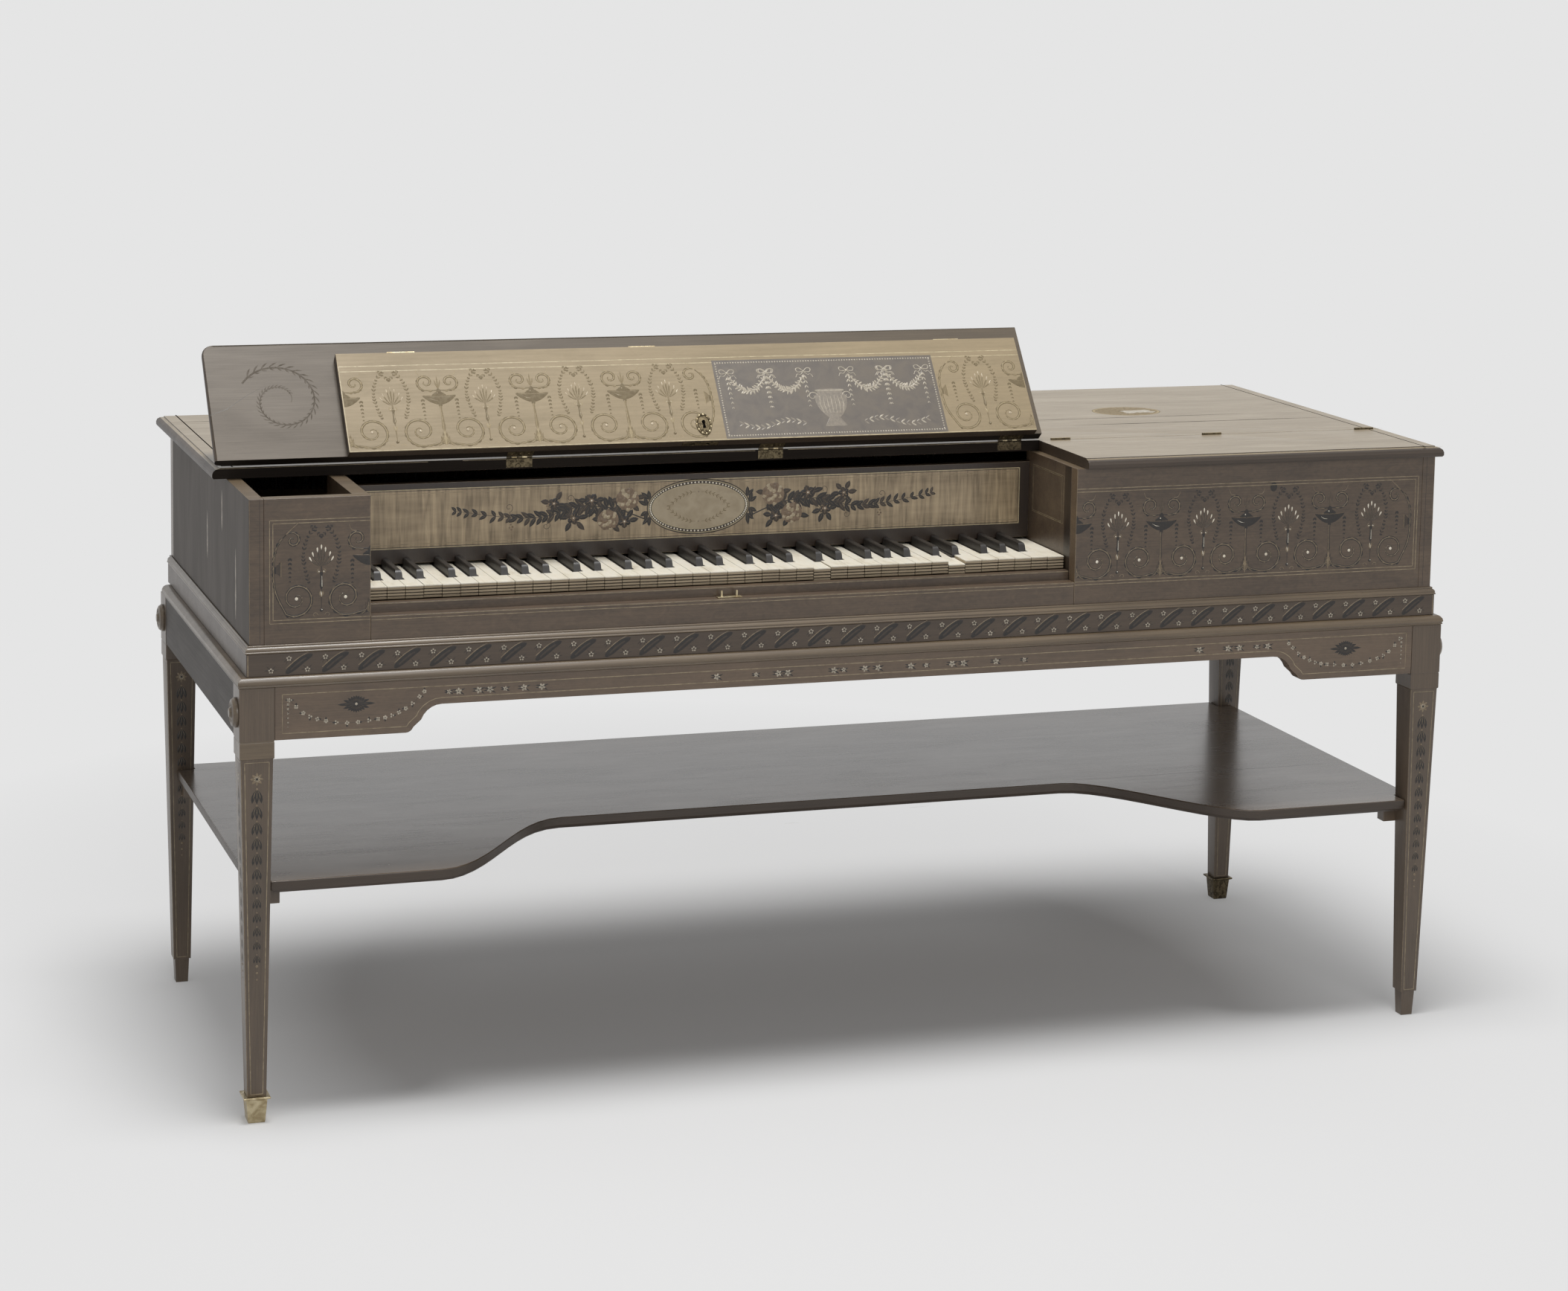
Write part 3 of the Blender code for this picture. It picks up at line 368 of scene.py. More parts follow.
@dataclass(frozen=True)
class Cloth(Finish):
    """Woven and fulled wool, seen as a soft uneven nap."""

    colour: str
    shade: str

    def build(self) -> Material:
        """Make the material.

        Returns:
            A wool with its nap drawn at half a millimetre.
        """
        material, tree, shader = self.shader()
        nap = self.noise(tree, (0.5, 0.5, 0.5), 3.0, 0.0)
        colour = self.ramp(tree, nap, [(0.3, self.shade), (0.7, self.colour)])
        self.feed(tree, shader, {"Base Color": colour}, {"Roughness": 0.95, "Sheen Weight": 0.4})
        self.bump(tree, shader, nap, 0.3)
        return material


class Palette:
    """Every finish of the piano, made once."""

    def __init__(self) -> None:
        """Build the materials."""
        # Satinwood veneer under old varnish: pale, faintly curled, the eye reads a soft silky band.
        self.satinwood = Wood(
            "satinwood_veneer_varnished", "satinwood", "#71644F", "#908167", figure=Figure.MOTTLE,
            roughness=0.38, polish=0.25, figure_weight=0.2, pore_depth=0.12, fibre_mm=3.0,
        ).build()
        # The same veneer on the lock board, kept from the light: paler and yellower.
        self.satinwood_pale = Wood(
            "satinwood_veneer_pale", "satinwood", "#7E7056", "#99886A", figure=Figure.MOTTLE, roughness=0.56,
            polish=0.04, figure_weight=0.2, pore_depth=0.1, fibre_mm=3.0,
        ).build()
        # The leaf's inner face: the same veneer, darkened as painted shade.
        self.satinwood_shaded = Wood(
            "satinwood_veneer_painted_shade", "satinwood", "#453B2E", "#5D5140", roughness=0.5, polish=0.05,
            pore_depth=0.2,
        ).build()
        # Strongly curled sycamore or satinwood of the name board: upright silky stripes 6 mm wide.
        self.curly = Wood(
            "curled_satinwood_veneer", "satinwood", "#75654D", "#B29E7F", figure=Figure.CURL, roughness=0.34,
            polish=0.4, figure_weight=1.15, pore_depth=0.1, fibre_mm=9.0,
        ).build()
        # Dark mottled case veneer, rubbed with oil: blotches a centimetre across.
        self.case_veneer = Wood(
            "mottled_case_veneer", "case_wood", "#3B3026", "#625140", figure=Figure.MOTTLE, roughness=0.4,
            polish=0.3, figure_weight=0.5,
        ).build()
        # The ends' veneer stands upright and has faded in streaks; it is kept darker than the front veneer as
        # painted shade on the ends.
        self.end_veneer = Wood(
            "upright_end_veneer_painted_shade", "case_wood", "#2A231C", "#443A30", run=Run.HEIGHT, roughness=0.6,
            polish=0.0,
        ).build()
        # Mahogany of the stand, stained brown and waxed.
        self.stand = Wood(
            "waxed_mahogany", "stand_wood", "#463A2F", "#705D4A", figure=Figure.MOTTLE, figure_weight=0.3,
            roughness=0.38, polish=0.35,
        ).build()
        # The same wood in upright pieces: legs and blocks.
        self.leg = Wood(
            "waxed_mahogany_upright", "stand_wood", "#43382D", "#695948", run=Run.HEIGHT, roughness=0.4,
            polish=0.3,
        ).build()
        # The same wood in the side rails, which run from front to back, darkened as painted shade.
        self.side = Wood(
            "waxed_mahogany_side_painted_shade", "stand_wood", "#211B16", "#352D25", run=Run.DEPTH, roughness=0.58,
            polish=0.0,
        ).build()
        # The shelf is worn smooth and glossier, so it mirrors the rear leg.
        self.shelf = Wood(
            "worn_polished_mahogany", "stand_wood", "#53473C", "#776654", figure=Figure.MOTTLE,
            figure_weight=0.2, roughness=0.24, polish=0.34, fibre_mm=3.0, pore_depth=0.15,
        ).build()
        # Lid edges, the leaf's outer face and crossbanding: darker wood with upright grain, made darker still
        # as painted shade for the keys' shadow on the name board's lower border.
        self.banding = Wood(
            "crossbanded_rosewood_and_painted_shade", "satinwood", "#1E1713", "#392C21", run=Run.HEIGHT, roughness=0.36,
            polish=0.15, fibre_mm=0.9,
        ).build()
        # Lid edge moulding, rubbed along its arris.
        self.edge = Wood(
            "rubbed_edge_moulding", "satinwood", "#2D251D", "#46392D", roughness=0.46, polish=0.12,
        ).build()
        # The same wood where lid and leaf meet at their hinges: matt, and near black as painted shade.
        self.joint_edge = Wood(
            "joint_edge_painted_shade", "satinwood", "#15110E", "#241E19", roughness=0.75, polish=0.0, gloss=0.1,
        ).build()
        # Unpolished oak inside the case, grey with age.
        self.oak = Wood(
            "planed_oak", "oak", "#4A3C2D", "#776249", roughness=0.68, polish=0.0, fibre_mm=2.0,
            pore_depth=0.6,
        ).build()
        # Straight-grained spruce of the soundboard: fine dark lines two millimetres apart.
        self.spruce = Wood(
            "quartered_spruce", "spruce", "#8A6C45", "#C7A778", roughness=0.55, polish=0.1, fibre_mm=1.9,
        ).build()
        # Beech rails, bridge and wrest plank: plain, flecked.
        self.beech = Wood(
            "planed_beech", "beech", "#87694A", "#B39370", roughness=0.55, polish=0.05, fibre_mm=1.2,
        ).build()
        # Lime key levers and moulded key fronts, unpolished and handled.
        self.lime = Wood(
            "handled_limewood", "ivory", "#8B7C66", "#B8A88D", roughness=0.6, polish=0.0, fibre_mm=1.0,
        ).build()
        # Moulding and arrises of the case, polished by hands and dusters.
        self.moulding = Wood(
            "rubbed_case_moulding", "case_wood", "#473B2F", "#75654F", roughness=0.36, polish=0.28,
        ).build()
        # Painted plinth band: a dark ground, brushed along its length.
        self.ground = Wood(
            "dark_painted_ground", "case_wood", "#3B3027", "#544638", roughness=0.45, polish=0.2,
            fibre_mm=2.5,
        ).build()
        self.ivory = Ivory("polished_ivory_facing", "ivory").build()
        # Black-stained pearwood sharps, rubbed grey at the front.
        self.ebony = Wood(
            "black_stained_pearwood", "ebony", "#14110F", "#2B2723", run=Run.DEPTH, roughness=0.46,
            polish=0.12, pore_depth=0.2,
        ).build()
        # Boxwood and holly stringing: pale lines set flush in the veneer.
        self.string = Pigment("boxwood_stringing", "case_wood", "#9A8B70", "#776952", grain_mm=9.0).build()
        self.string_dark = Pigment("ebony_stringing", "case_wood", "#1E1916", "#2B241F").build()
        self.string_pale = Pigment("holly_stringing", "satinwood", "#BFB190", "#9F9173", grain_mm=9.0).build()
        # Oil colours of the ornament, from the darkest leaves to the pearl highlights.
        self.leaf_dark = Pigment("dark_leaf_oil_colour", "case_wood", "#231D18", "#181411").build()
        self.leaf_mid = Pigment("brown_leaf_oil_colour", "case_wood", "#3D3228", "#322920").build()
        self.leaf_light = Pigment("light_leaf_oil_colour", "case_wood", "#84745C", "#6C5D48").build()
        self.pearl = Pigment("pearl_oil_colour", "case_wood", "#E9E2D2", "#CFC5B0", 0.3).build()
        # The same colours where the varnish has gone: matt, and near to the wood that they lie on.
        self.faint_dark = self.faded("faded_leaf_oil_colour", "#706349", "#675A43")
        self.faint_mid = self.faded("faded_shade_oil_colour", "#7F7157", "#77694F")
        self.faint_light = self.faded("faded_light_oil_colour", "#9E8F72", "#948567")
        # The leaf's inner scroll: faded oil colour, darkened with its face as painted shade.
        self.leaf_faded_shaded = self.faded("leaf_inside_oil_colour_painted_shade", "#4A4032", "#42392C", 0.4)
        self.rose = Pigment("rose_oil_colour", "satinwood", "#84705A", "#6A5846").build()
        self.rose_light = Pigment("pale_rose_oil_colour", "satinwood", "#B9AA90", "#998A71").build()
        self.picture = Pigment(
            "slate_grey_oil_ground", "satinwood", "#675F55", "#58514A", grain_mm=18.0,
        ).build()
        self.stone = Pigment("grisaille_oil_colour", "satinwood", "#B1A796", "#918979").build()
        self.stone_shade = Pigment("grisaille_shade_oil_colour", "satinwood", "#857C6F", "#736B60").build()
        self.oval = Pigment("pale_oval_oil_ground", "satinwood", "#A99B83", "#9B8D75", grain_mm=14.0).build()
        # Cast and filed brass: bright where rubbed, brown in its corners.
        self.brass = Metal(
            "aged_cast_brass", "brass", "#C2B596", "#9C8D6E", roughness=0.34, patch_mm=12.0,
        ).build()
        self.brass_dark = Metal("tarnished_brass", "brass", "#6C614C", "#3A3328", roughness=0.42).build()
        # Drawn iron and brass wire, and forged iron pins.
        self.wire = Metal(
            "drawn_iron_wire", "brass", "#9A948A", "#5C564E", roughness=0.3, patch_mm=30.0,
        ).build()
        self.iron = Metal("forged_iron_pin", "brass", "#55504A", "#2B2724", roughness=0.45).build()
        self.red_cloth = Cloth("fulled_red_wool", "oak", "#6E2F28", "#4A1E1A").build()
        self.leather = Pigment("buff_goat_leather", "oak", "#B79D78", "#8F7858", 0.8, 1.5).build()
        # Painted shadow in open joints, cracks, mortises, screw slots and the key hole: near black, with no
        # gloss.
        self.shadow = Pigment("painted_shadow_in_holes", "brass", "#120F0D", "#0C0A09", 0.8, 4.0, 0.0, 0.0).build()

    def faded(self, name: str, colour: str, shade: str, gloss: float = 0.3) -> Material:
        """Oil colour on satinwood that has lost its varnish."""
        return Pigment(name, "satinwood", colour, shade, 0.6, 4.0, 0.0, gloss).build()


def at(x: float, y: float, z: float) -> Vector:
    """Place given in millimetres from the case's front left corner, and over the floor."""
    return Vector((CORNER.x + x * MM, CORNER.y + y * MM, z * MM))


def from_corner(place: Vector) -> Vector:
    """Millimetres from the case's front left corner, and over the floor, of a place."""
    return Vector((place.x - CORNER.x, place.y - CORNER.y, place.z)) / MM


def body_of(node: str) -> str:
    """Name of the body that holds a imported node."""
    bodies = frame["record"]["behaviour"]["bodies"]
    return next(body for body, nodes in bodies.items() if node in nodes)


@dataclass(frozen=True)
class Face:
    """Flat face of a board: its corner, and its directions across and up."""

    corner: Vector
    across: Vector
    up: Vector

    def at(self, u: float, v: float, rise: float = 0.0) -> Vector:
        """Place of a point given in millimetres across, up and out of the face."""
        out = self.across.cross(self.up)
        return self.corner + (self.across * u + self.up * v + out * rise) * MM

    def moved(self, place: Matrix) -> "Face":
        """The same face after its board has turned."""
        turn = place.to_3x3()
        return Face(place @ self.corner, turn @ self.across, turn @ self.up)


class Heap:
    """Closed shapes gathered into one mesh, each face with its own material."""

    def __init__(self) -> None:
        """Start with nothing."""
        self.points: list[Vector] = []
        self.faces: list[tuple[int, ...]] = []
        self.tags: list[int] = []
        self.materials: list[Material] = []

    def tag(self, material: Material) -> int:
        """Number of a material in the mesh."""
        if material not in self.materials:
            self.materials.append(material)
        return self.materials.index(material)

    def loft(self, rings: list[list[Vector]], material: Material, joined: bool = False) -> None:
        """Add a closed shape through rings of points.

        Args:
            rings: rings with the same number of points.
            material: the shape's finish.
            joined: whether the last ring meets the first, as in a hoop.
        """
        start = len(self.points)
        count = len(rings[0])
        for ring in rings:
            self.points += ring
        made = []
        spans = len(rings) if joined else len(rings) - 1
        for i in range(spans):
            a = start + i * count
            b = start + ((i + 1) % len(rings)) * count
            made += [(a + j, a + (j + 1) % count, b + (j + 1) % count, b + j) for j in range(count)]
        if not joined:
            made.append(tuple(range(start + count - 1, start - 1, -1)))
            made.append(tuple(range(start + (len(rings) - 1) * count, start + len(rings) * count)))
        self.faces += made
        self.tags += [self.tag(material)] * len(made)

    def block(self, low: Vector, high: Vector, material: Material) -> None:
        """Add a block between two corners."""
        plan = [(low.x, low.y), (high.x, low.y), (high.x, high.y), (low.x, high.y)]
        self.loft([[Vector((x, y, z)) for x, y in plan] for z in (low.z, high.z)], material)

    def tube(self, path: list[Vector], radii: list[float], material: Material, sides: int) -> None:
        """Add a round bar, wire or turned piece along a path.

        Args:
            path: places along the middle line.
            radii: the radius at each place, in metres.
            material: the shape's finish.
            sides: number of its flats.
        """
        rings = []
        reference = Vector((0.0, 0.0, 1.0))
        whole = path[-1] - path[0]
        if abs(whole.normalized().z) > 0.8:
            reference = Vector((1.0, 0.0, 0.0))
        for i, place in enumerate(path):
            along = (path[min(i + 1, len(path) - 1)] - path[max(i - 1, 0)]).normalized()
            side = along.cross(reference).normalized()
            top = side.cross(along)
            turns = [2 * pi * j / sides for j in range(sides)]
            rings.append([place + (side * cos(t) + top * sin(t)) * radii[i] for t in turns])
        self.loft(rings, material)

    def build(
        self, name: str, body: str, slot: str, replaced: tuple[str, ...] = (),
        soft: float = 0.0, angle: float = 50.0,
    ) -> bpy.types.Object:
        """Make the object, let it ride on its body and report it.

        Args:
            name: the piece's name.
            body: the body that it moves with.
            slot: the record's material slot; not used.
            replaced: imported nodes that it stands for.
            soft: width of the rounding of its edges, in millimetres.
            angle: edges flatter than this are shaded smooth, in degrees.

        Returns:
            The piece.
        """
        mesh = bpy.data.meshes.new(name)
        mesh.from_pydata([tuple(point) for point in self.points], [], self.faces)
        for material in self.materials:
            mesh.materials.append(material)
        mesh.polygons.foreach_set("material_index", self.tags)
        shape = bmesh.new()
        shape.from_mesh(mesh)
        bmesh.ops.recalc_face_normals(shape, faces=shape.faces)
        shape.to_mesh(mesh)
        shape.free()
        mesh.shade_smooth()
        mesh.set_sharp_from_angle(angle=radians(angle))
        piece = bpy.data.objects.new(name, mesh)
        return settle(piece, body, replaced, soft)


def settle(
    piece: bpy.types.Object, body: str, replaced: tuple[str, ...], soft: float
) -> bpy.types.Object:
    """Link a piece, round its edges, and let it ride on its body.

    Args:
        piece: the piece, with its place in its mesh.
        body: the body that it moves with.
        replaced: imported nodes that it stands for.
        soft: width of the rounding of its edges, in millimetres.

    Returns:
        The piece.
    """
    bpy.context.scene.collection.objects.link(piece)
    if soft:
        bevel = piece.modifiers.new("worn_edges", "BEVEL")
        bevel.width = soft * MM
        bevel.segments = 2
        bevel.limit_method = "ANGLE"
        bevel.angle_limit = radians(30)
        bevel.harden_normals = True
    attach(piece, body)
    if replaced:
        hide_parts(*replaced)
    LOG.info("%s on %s, %d faces", piece.name, body, len(piece.data.polygons))
    return piece


def rounded(shape: bmesh.types.BMesh, place: Matrix, corner: Point2, radius: float) -> None:
    """Round a board's near left corner.

    Args:
        shape: the board's mesh.
        place: turn that carries the closed board to the mesh.
        corner: the closed board's corner, seen from above, in case millimetres.
        radius: the rounding's radius in millimetres.
    """
    shape.transform(place.inverted())
    for normal in (ALONG, BACK):
        for share in (0.05, 0.12, 0.22, 0.36, 0.54, 0.76, 1.0):
            spot = at(corner[0] + radius * share, corner[1] + radius * share, 0.0)
            parts = [*shape.verts, *shape.edges, *shape.faces]
            bmesh.ops.bisect_plane(shape, geom=parts, dist=1e-6, plane_co=spot, plane_no=normal)
    for vertex in shape.verts:
        spot = from_corner(vertex.co)
        part = [1 - (spot[k] - corner[k]) / radius for k in (0, 1)]
        if min(part) > 0:
            scale = max(part) / hypot(*part)
            spot.x, spot.y = (corner[k] + radius * (1 - part[k] * scale) for k in (0, 1))
            vertex.co = at(*spot)
    shape.transform(place)


def dress(node: str, pick, soft: float = 0.4, change=None) -> bpy.types.Object:
    """Give a packed board worn edges and a finish for each of its faces.

    Args:
        node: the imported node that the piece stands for.
        pick: a material, or a function of a face's normal and its middle in case millimetres.
        soft: width of the rounding of its edges, in millimetres.
        change: a function that changes the mesh first, or none.

    Returns:
        The piece.
    """
    choose = pick if callable(pick) else lambda normal, middle: pick
    shape = bmesh.new()
    shape.from_mesh(frame["nodes"][node].data)
    bmesh.ops.remove_doubles(shape, verts=shape.verts, dist=1e-6)
    bmesh.ops.dissolve_limit(shape, angle_limit=radians(0.6), verts=shape.verts, edges=shape.edges)
    if change:
        change(shape)
    shape.normal_update()
    materials: list[Material] = []
    for face in shape.faces:
        material = choose(face.normal, from_corner(face.calc_center_median()))
        if material not in materials:
            materials.append(material)
        face.material_index = materials.index(material)
    title = f"{node}_finished"
    mesh = bpy.data.meshes.new(title)
    shape.to_mesh(mesh)
    shape.free()
    for material in materials:
        mesh.materials.append(material)
    mesh.shade_smooth()
    mesh.set_sharp_from_angle(angle=radians(28))
    return settle(bpy.data.objects.new(title, mesh), body_of(node), (node,), soft)


@dataclass
class Inks:
    """Colours of one frieze, from dark leaves to highlights."""

    dark: Material
    mid: Material
    light: Material
    pearl: Material


class Relief(Heap):
    """Thin painted or inlaid ornament on one face, laid out in millimetres across and up."""

    def __init__(self, face: Face) -> None:
        """Start on a face."""
        super().__init__()
        self.face = face

    def rows(self, path: Path, section: list[tuple[float, float]], widths: list[float]) -> list[list[Vector]]:
        """Rings of a section along a path.

        Args:
            path: places in millimetres.
            section: points as (share of the half width, height in millimetres).
            widths: the width at each place.

        Returns:
            One ring for each place.
        """
        rings = []
        for i, (u, v) in enumerate(path):
            before = path[max(i - 1, 0)]
            after = path[min(i + 1, len(path) - 1)]
            du, dv = after[0] - before[0], after[1] - before[1]
            length = hypot(du, dv) or 1.0
            half = max(widths[i], 0.04) / 2
            side = (-dv / length * half, du / length * half)
            ring = [(u + side[0] * share, v + side[1] * share, rise) for share, rise in section]
            rings.append([self.face.at(*spot) for spot in ring])
        return rings

    def ridge(self, path: Path, widths: list[float], material: Material, rise: float = 0.12) -> None:
        """Add a brush stroke with a low crest.

        Args:
            path: places in millimetres.
            widths: the stroke's width at each place.
            material: its colour.
            rise: the crest's height in millimetres.
        """
        section = [(-1.0, -0.03), (-0.55, rise * 0.8), (0.0, rise), (0.55, rise * 0.8), (1.0, -0.03)]
        self.loft(self.rows(path, section, widths), material)

    def band(self, path: Path, width: float, material: Material, top: float = 0.05) -> None:
        """Add a flat line of even width, as a string let into veneer."""
        section = [(-1.0, -0.05), (-1.0, top), (1.0, top), (1.0, -0.05)]
        self.loft(self.rows(path, section, [width] * len(path)), material)

    def petal(
        self, root: Point2, heading: float, length: float, width: float, material: Material,
        bend: float, rise: float = 0.12, blunt: float = 0.5,
    ) -> None:
        """Add a leaf or petal.

        Args:
            root: where it starts, in millimetres.
            heading: its direction in degrees, 90 is up.
            length: its length in millimetres.
            width: its greatest width in millimetres.
            material: its colour.
            bend: how far its tip turns, in degrees.
            rise: its crest's height in millimetres.
            blunt: where along it is widest, from zero to one.
        """
        path = [root]
        widths = [0.15 * width]
        steps = 4
        for i in range(1, steps + 1):
            turn = radians(heading + bend * (i - 0.5) / steps)
            u, v = path[-1]
            path.append((u + cos(turn) * length / steps, v + sin(turn) * length / steps))
            share = i / steps
            swell = share / blunt if share < blunt else (1 - share) / (1 - blunt)
            widths.append(width * sqrt(max(swell, 0.0)))
        self.ridge(path, widths, material, rise)

    def patch(self, outline: Path, material: Material, top: float, dome: float = 0.0) -> None:
        """Add a flat or domed shape.

        Args:
            outline: its outline in millimetres.
            material: its colour.
            top: the height of its rim in millimetres.
            dome: how much higher a ring half way in stands.
        """
        mid = (sum(u for u, _ in outline) / len(outline), sum(v for _, v in outline) / len(outline))
        shares = [(1.0, -0.05), (1.0, top)]
        if dome:
            shares += [(0.72, top + dome * 0.65), (0.35, top + dome)]
        rings = []
        for share, rise in shares:
            ring = [(mid[0] + (u - mid[0]) * share, mid[1] + (v - mid[1]) * share) for u, v in outline]
            rings.append([self.face.at(u, v, rise) for u, v in ring])
        self.loft(rings, material)

    def pearl(self, middle: Point2, radius: float, material: Material, rise: float = 0.0) -> None:
        """Add a round bead or dot; its height follows its radius unless rise says it."""
        height = rise or radius * 0.35
        outline = ellipse(middle, radius, radius, 10)
        self.patch(outline, material, height * 0.3, height * 0.7)

    def plate(self, low: Point2, high: Point2, material: Material, top: float) -> None:
        """Add a flat rectangle between two corners."""
        self.patch(rectangle(low, high), material, top)

    def box(self, low: Point2, high: Point2, width: float, material: Material, open_side: int = 0) -> None:
        """Add a rectangle of string.

        Args:
            low: its lower left corner in millimetres.
            high: its upper right corner.
            width: the string's width.
            material: the string's finish.
            open_side: -1 draws no left side, 1 no right side.
        """
        a, b, c, d = rectangle(low, high)
        self.band([a, b], width, material)
        self.band([d, c], width, material)
        if open_side != -1:
            self.band([a, d], width, material)
        if open_side != 1:
            self.band([b, c], width, material)

    def screw(self, u: float, v: float, metal: Material, dark: Material) -> None:
        """Add a countersunk screw head with its slot."""
        self.patch(ellipse((u, v), 1.9, 1.9, 12), metal, 0.1, 0.15)
        self.band([(u - 1.3, v - 0.5), (u + 1.3, v + 0.5)], 0.4, dark, 0.3)

    def blossom(self, middle: Point2, radius: float, petals: int, inks: Inks, turn: float = 90.0) -> None:
        """Add a small flower.

        Args:
            middle: its middle in millimetres.
            radius: its radius.
            petals: their number.
            inks: its colours: light petals round a dark eye.
            turn: the first petal's direction in degrees.
        """
        width = radius * 3.4 / petals
        for i in range(petals):
            self.petal(middle, turn + 360 * i / petals, radius, width, inks.light, 0.0, 0.14, 0.65)
        self.pearl(middle, radius * 0.22, inks.dark, 0.22)


def polar(middle: Point2, reach: float, turn: float) -> Point2:
    """Point at a distance from another, in a direction in degrees."""
    return (middle[0] + reach * cos(radians(turn)), middle[1] + reach * sin(radians(turn)))


def mirrored(points: Path, u: float, side: int, v: float = 0.0) -> Path:
    """Points laid out to the right (1) or the left (-1) of a place."""
    return [(u + side * a, v + b) for a, b in points]


def rectangle(low: Point2, high: Point2) -> Path:
    """Corners of a rectangle, counter-clockwise from the lower left."""
    return [low, (high[0], low[1]), high, (low[0], high[1])]


def ellipse(middle: Point2, wide: float, tall: float, count: int, start: float = 0.0) -> Path:
    """Points round an ellipse.

    Args:
        middle: its middle in millimetres.
        wide: its half width.
        tall: its half height.
        count: the number of points.
        start: the first point's angle in degrees.

    Returns:
        The points, counter-clockwise.
    """
    turns = [radians(start + 360 * i / count) for i in range(count)]
    return [(middle[0] + wide * cos(t), middle[1] + tall * sin(t)) for t in turns]


def curve(stops: Path, count: int) -> Path:
    """Smooth path through a few points.

    Args:
        stops: the points that it passes.
        count: pieces between each two of them.

    Returns:
        The path's points.
    """
    ends = [stops[0], *stops, stops[-1]]
    path = []
    for i in range(1, len(ends) - 2):
        a, b, c, d = ends[i - 1 : i + 3]
        for j in range(count):
            t = j / count
            weights = (
                -0.5 * t**3 + t**2 - 0.5 * t,
                1.5 * t**3 - 2.5 * t**2 + 1,
                -1.5 * t**3 + 2 * t**2 + 0.5 * t,
                0.5 * t**3 - 0.5 * t**2,
            )
            path.append(tuple(sum(w * p[k] for w, p in zip(weights, (a, b, c, d))) for k in (0, 1)))
    return path + [stops[-1]]


def spiral(middle: Point2, outer: float, inner: float, start: float, turn: float, count: int) -> Path:
    """Points along a spiral that winds in.

    Args:
        middle: its eye in millimetres.
        outer: radius at its start.
        inner: radius at its end.
        start: the first point's angle in degrees.
        turn: the angle that it winds through, in degrees, negative clockwise.
        count: the number of pieces.

    Returns:
        The path's points.
    """
    path = []
    for i in range(count + 1):
        share = i / count
        radius = outer + (inner - outer) * share
        angle = radians(start + turn * share)
        path.append((middle[0] + radius * cos(angle), middle[1] + radius * sin(angle)))
    return path


def heading(path: Path, i: int) -> float:
    """Direction of a path at one of its points, in degrees."""
    before = path[max(i - 1, 0)]
    after = path[min(i + 1, len(path) - 1)]
    return degrees(atan2(after[1] - before[1], after[0] - before[0]))


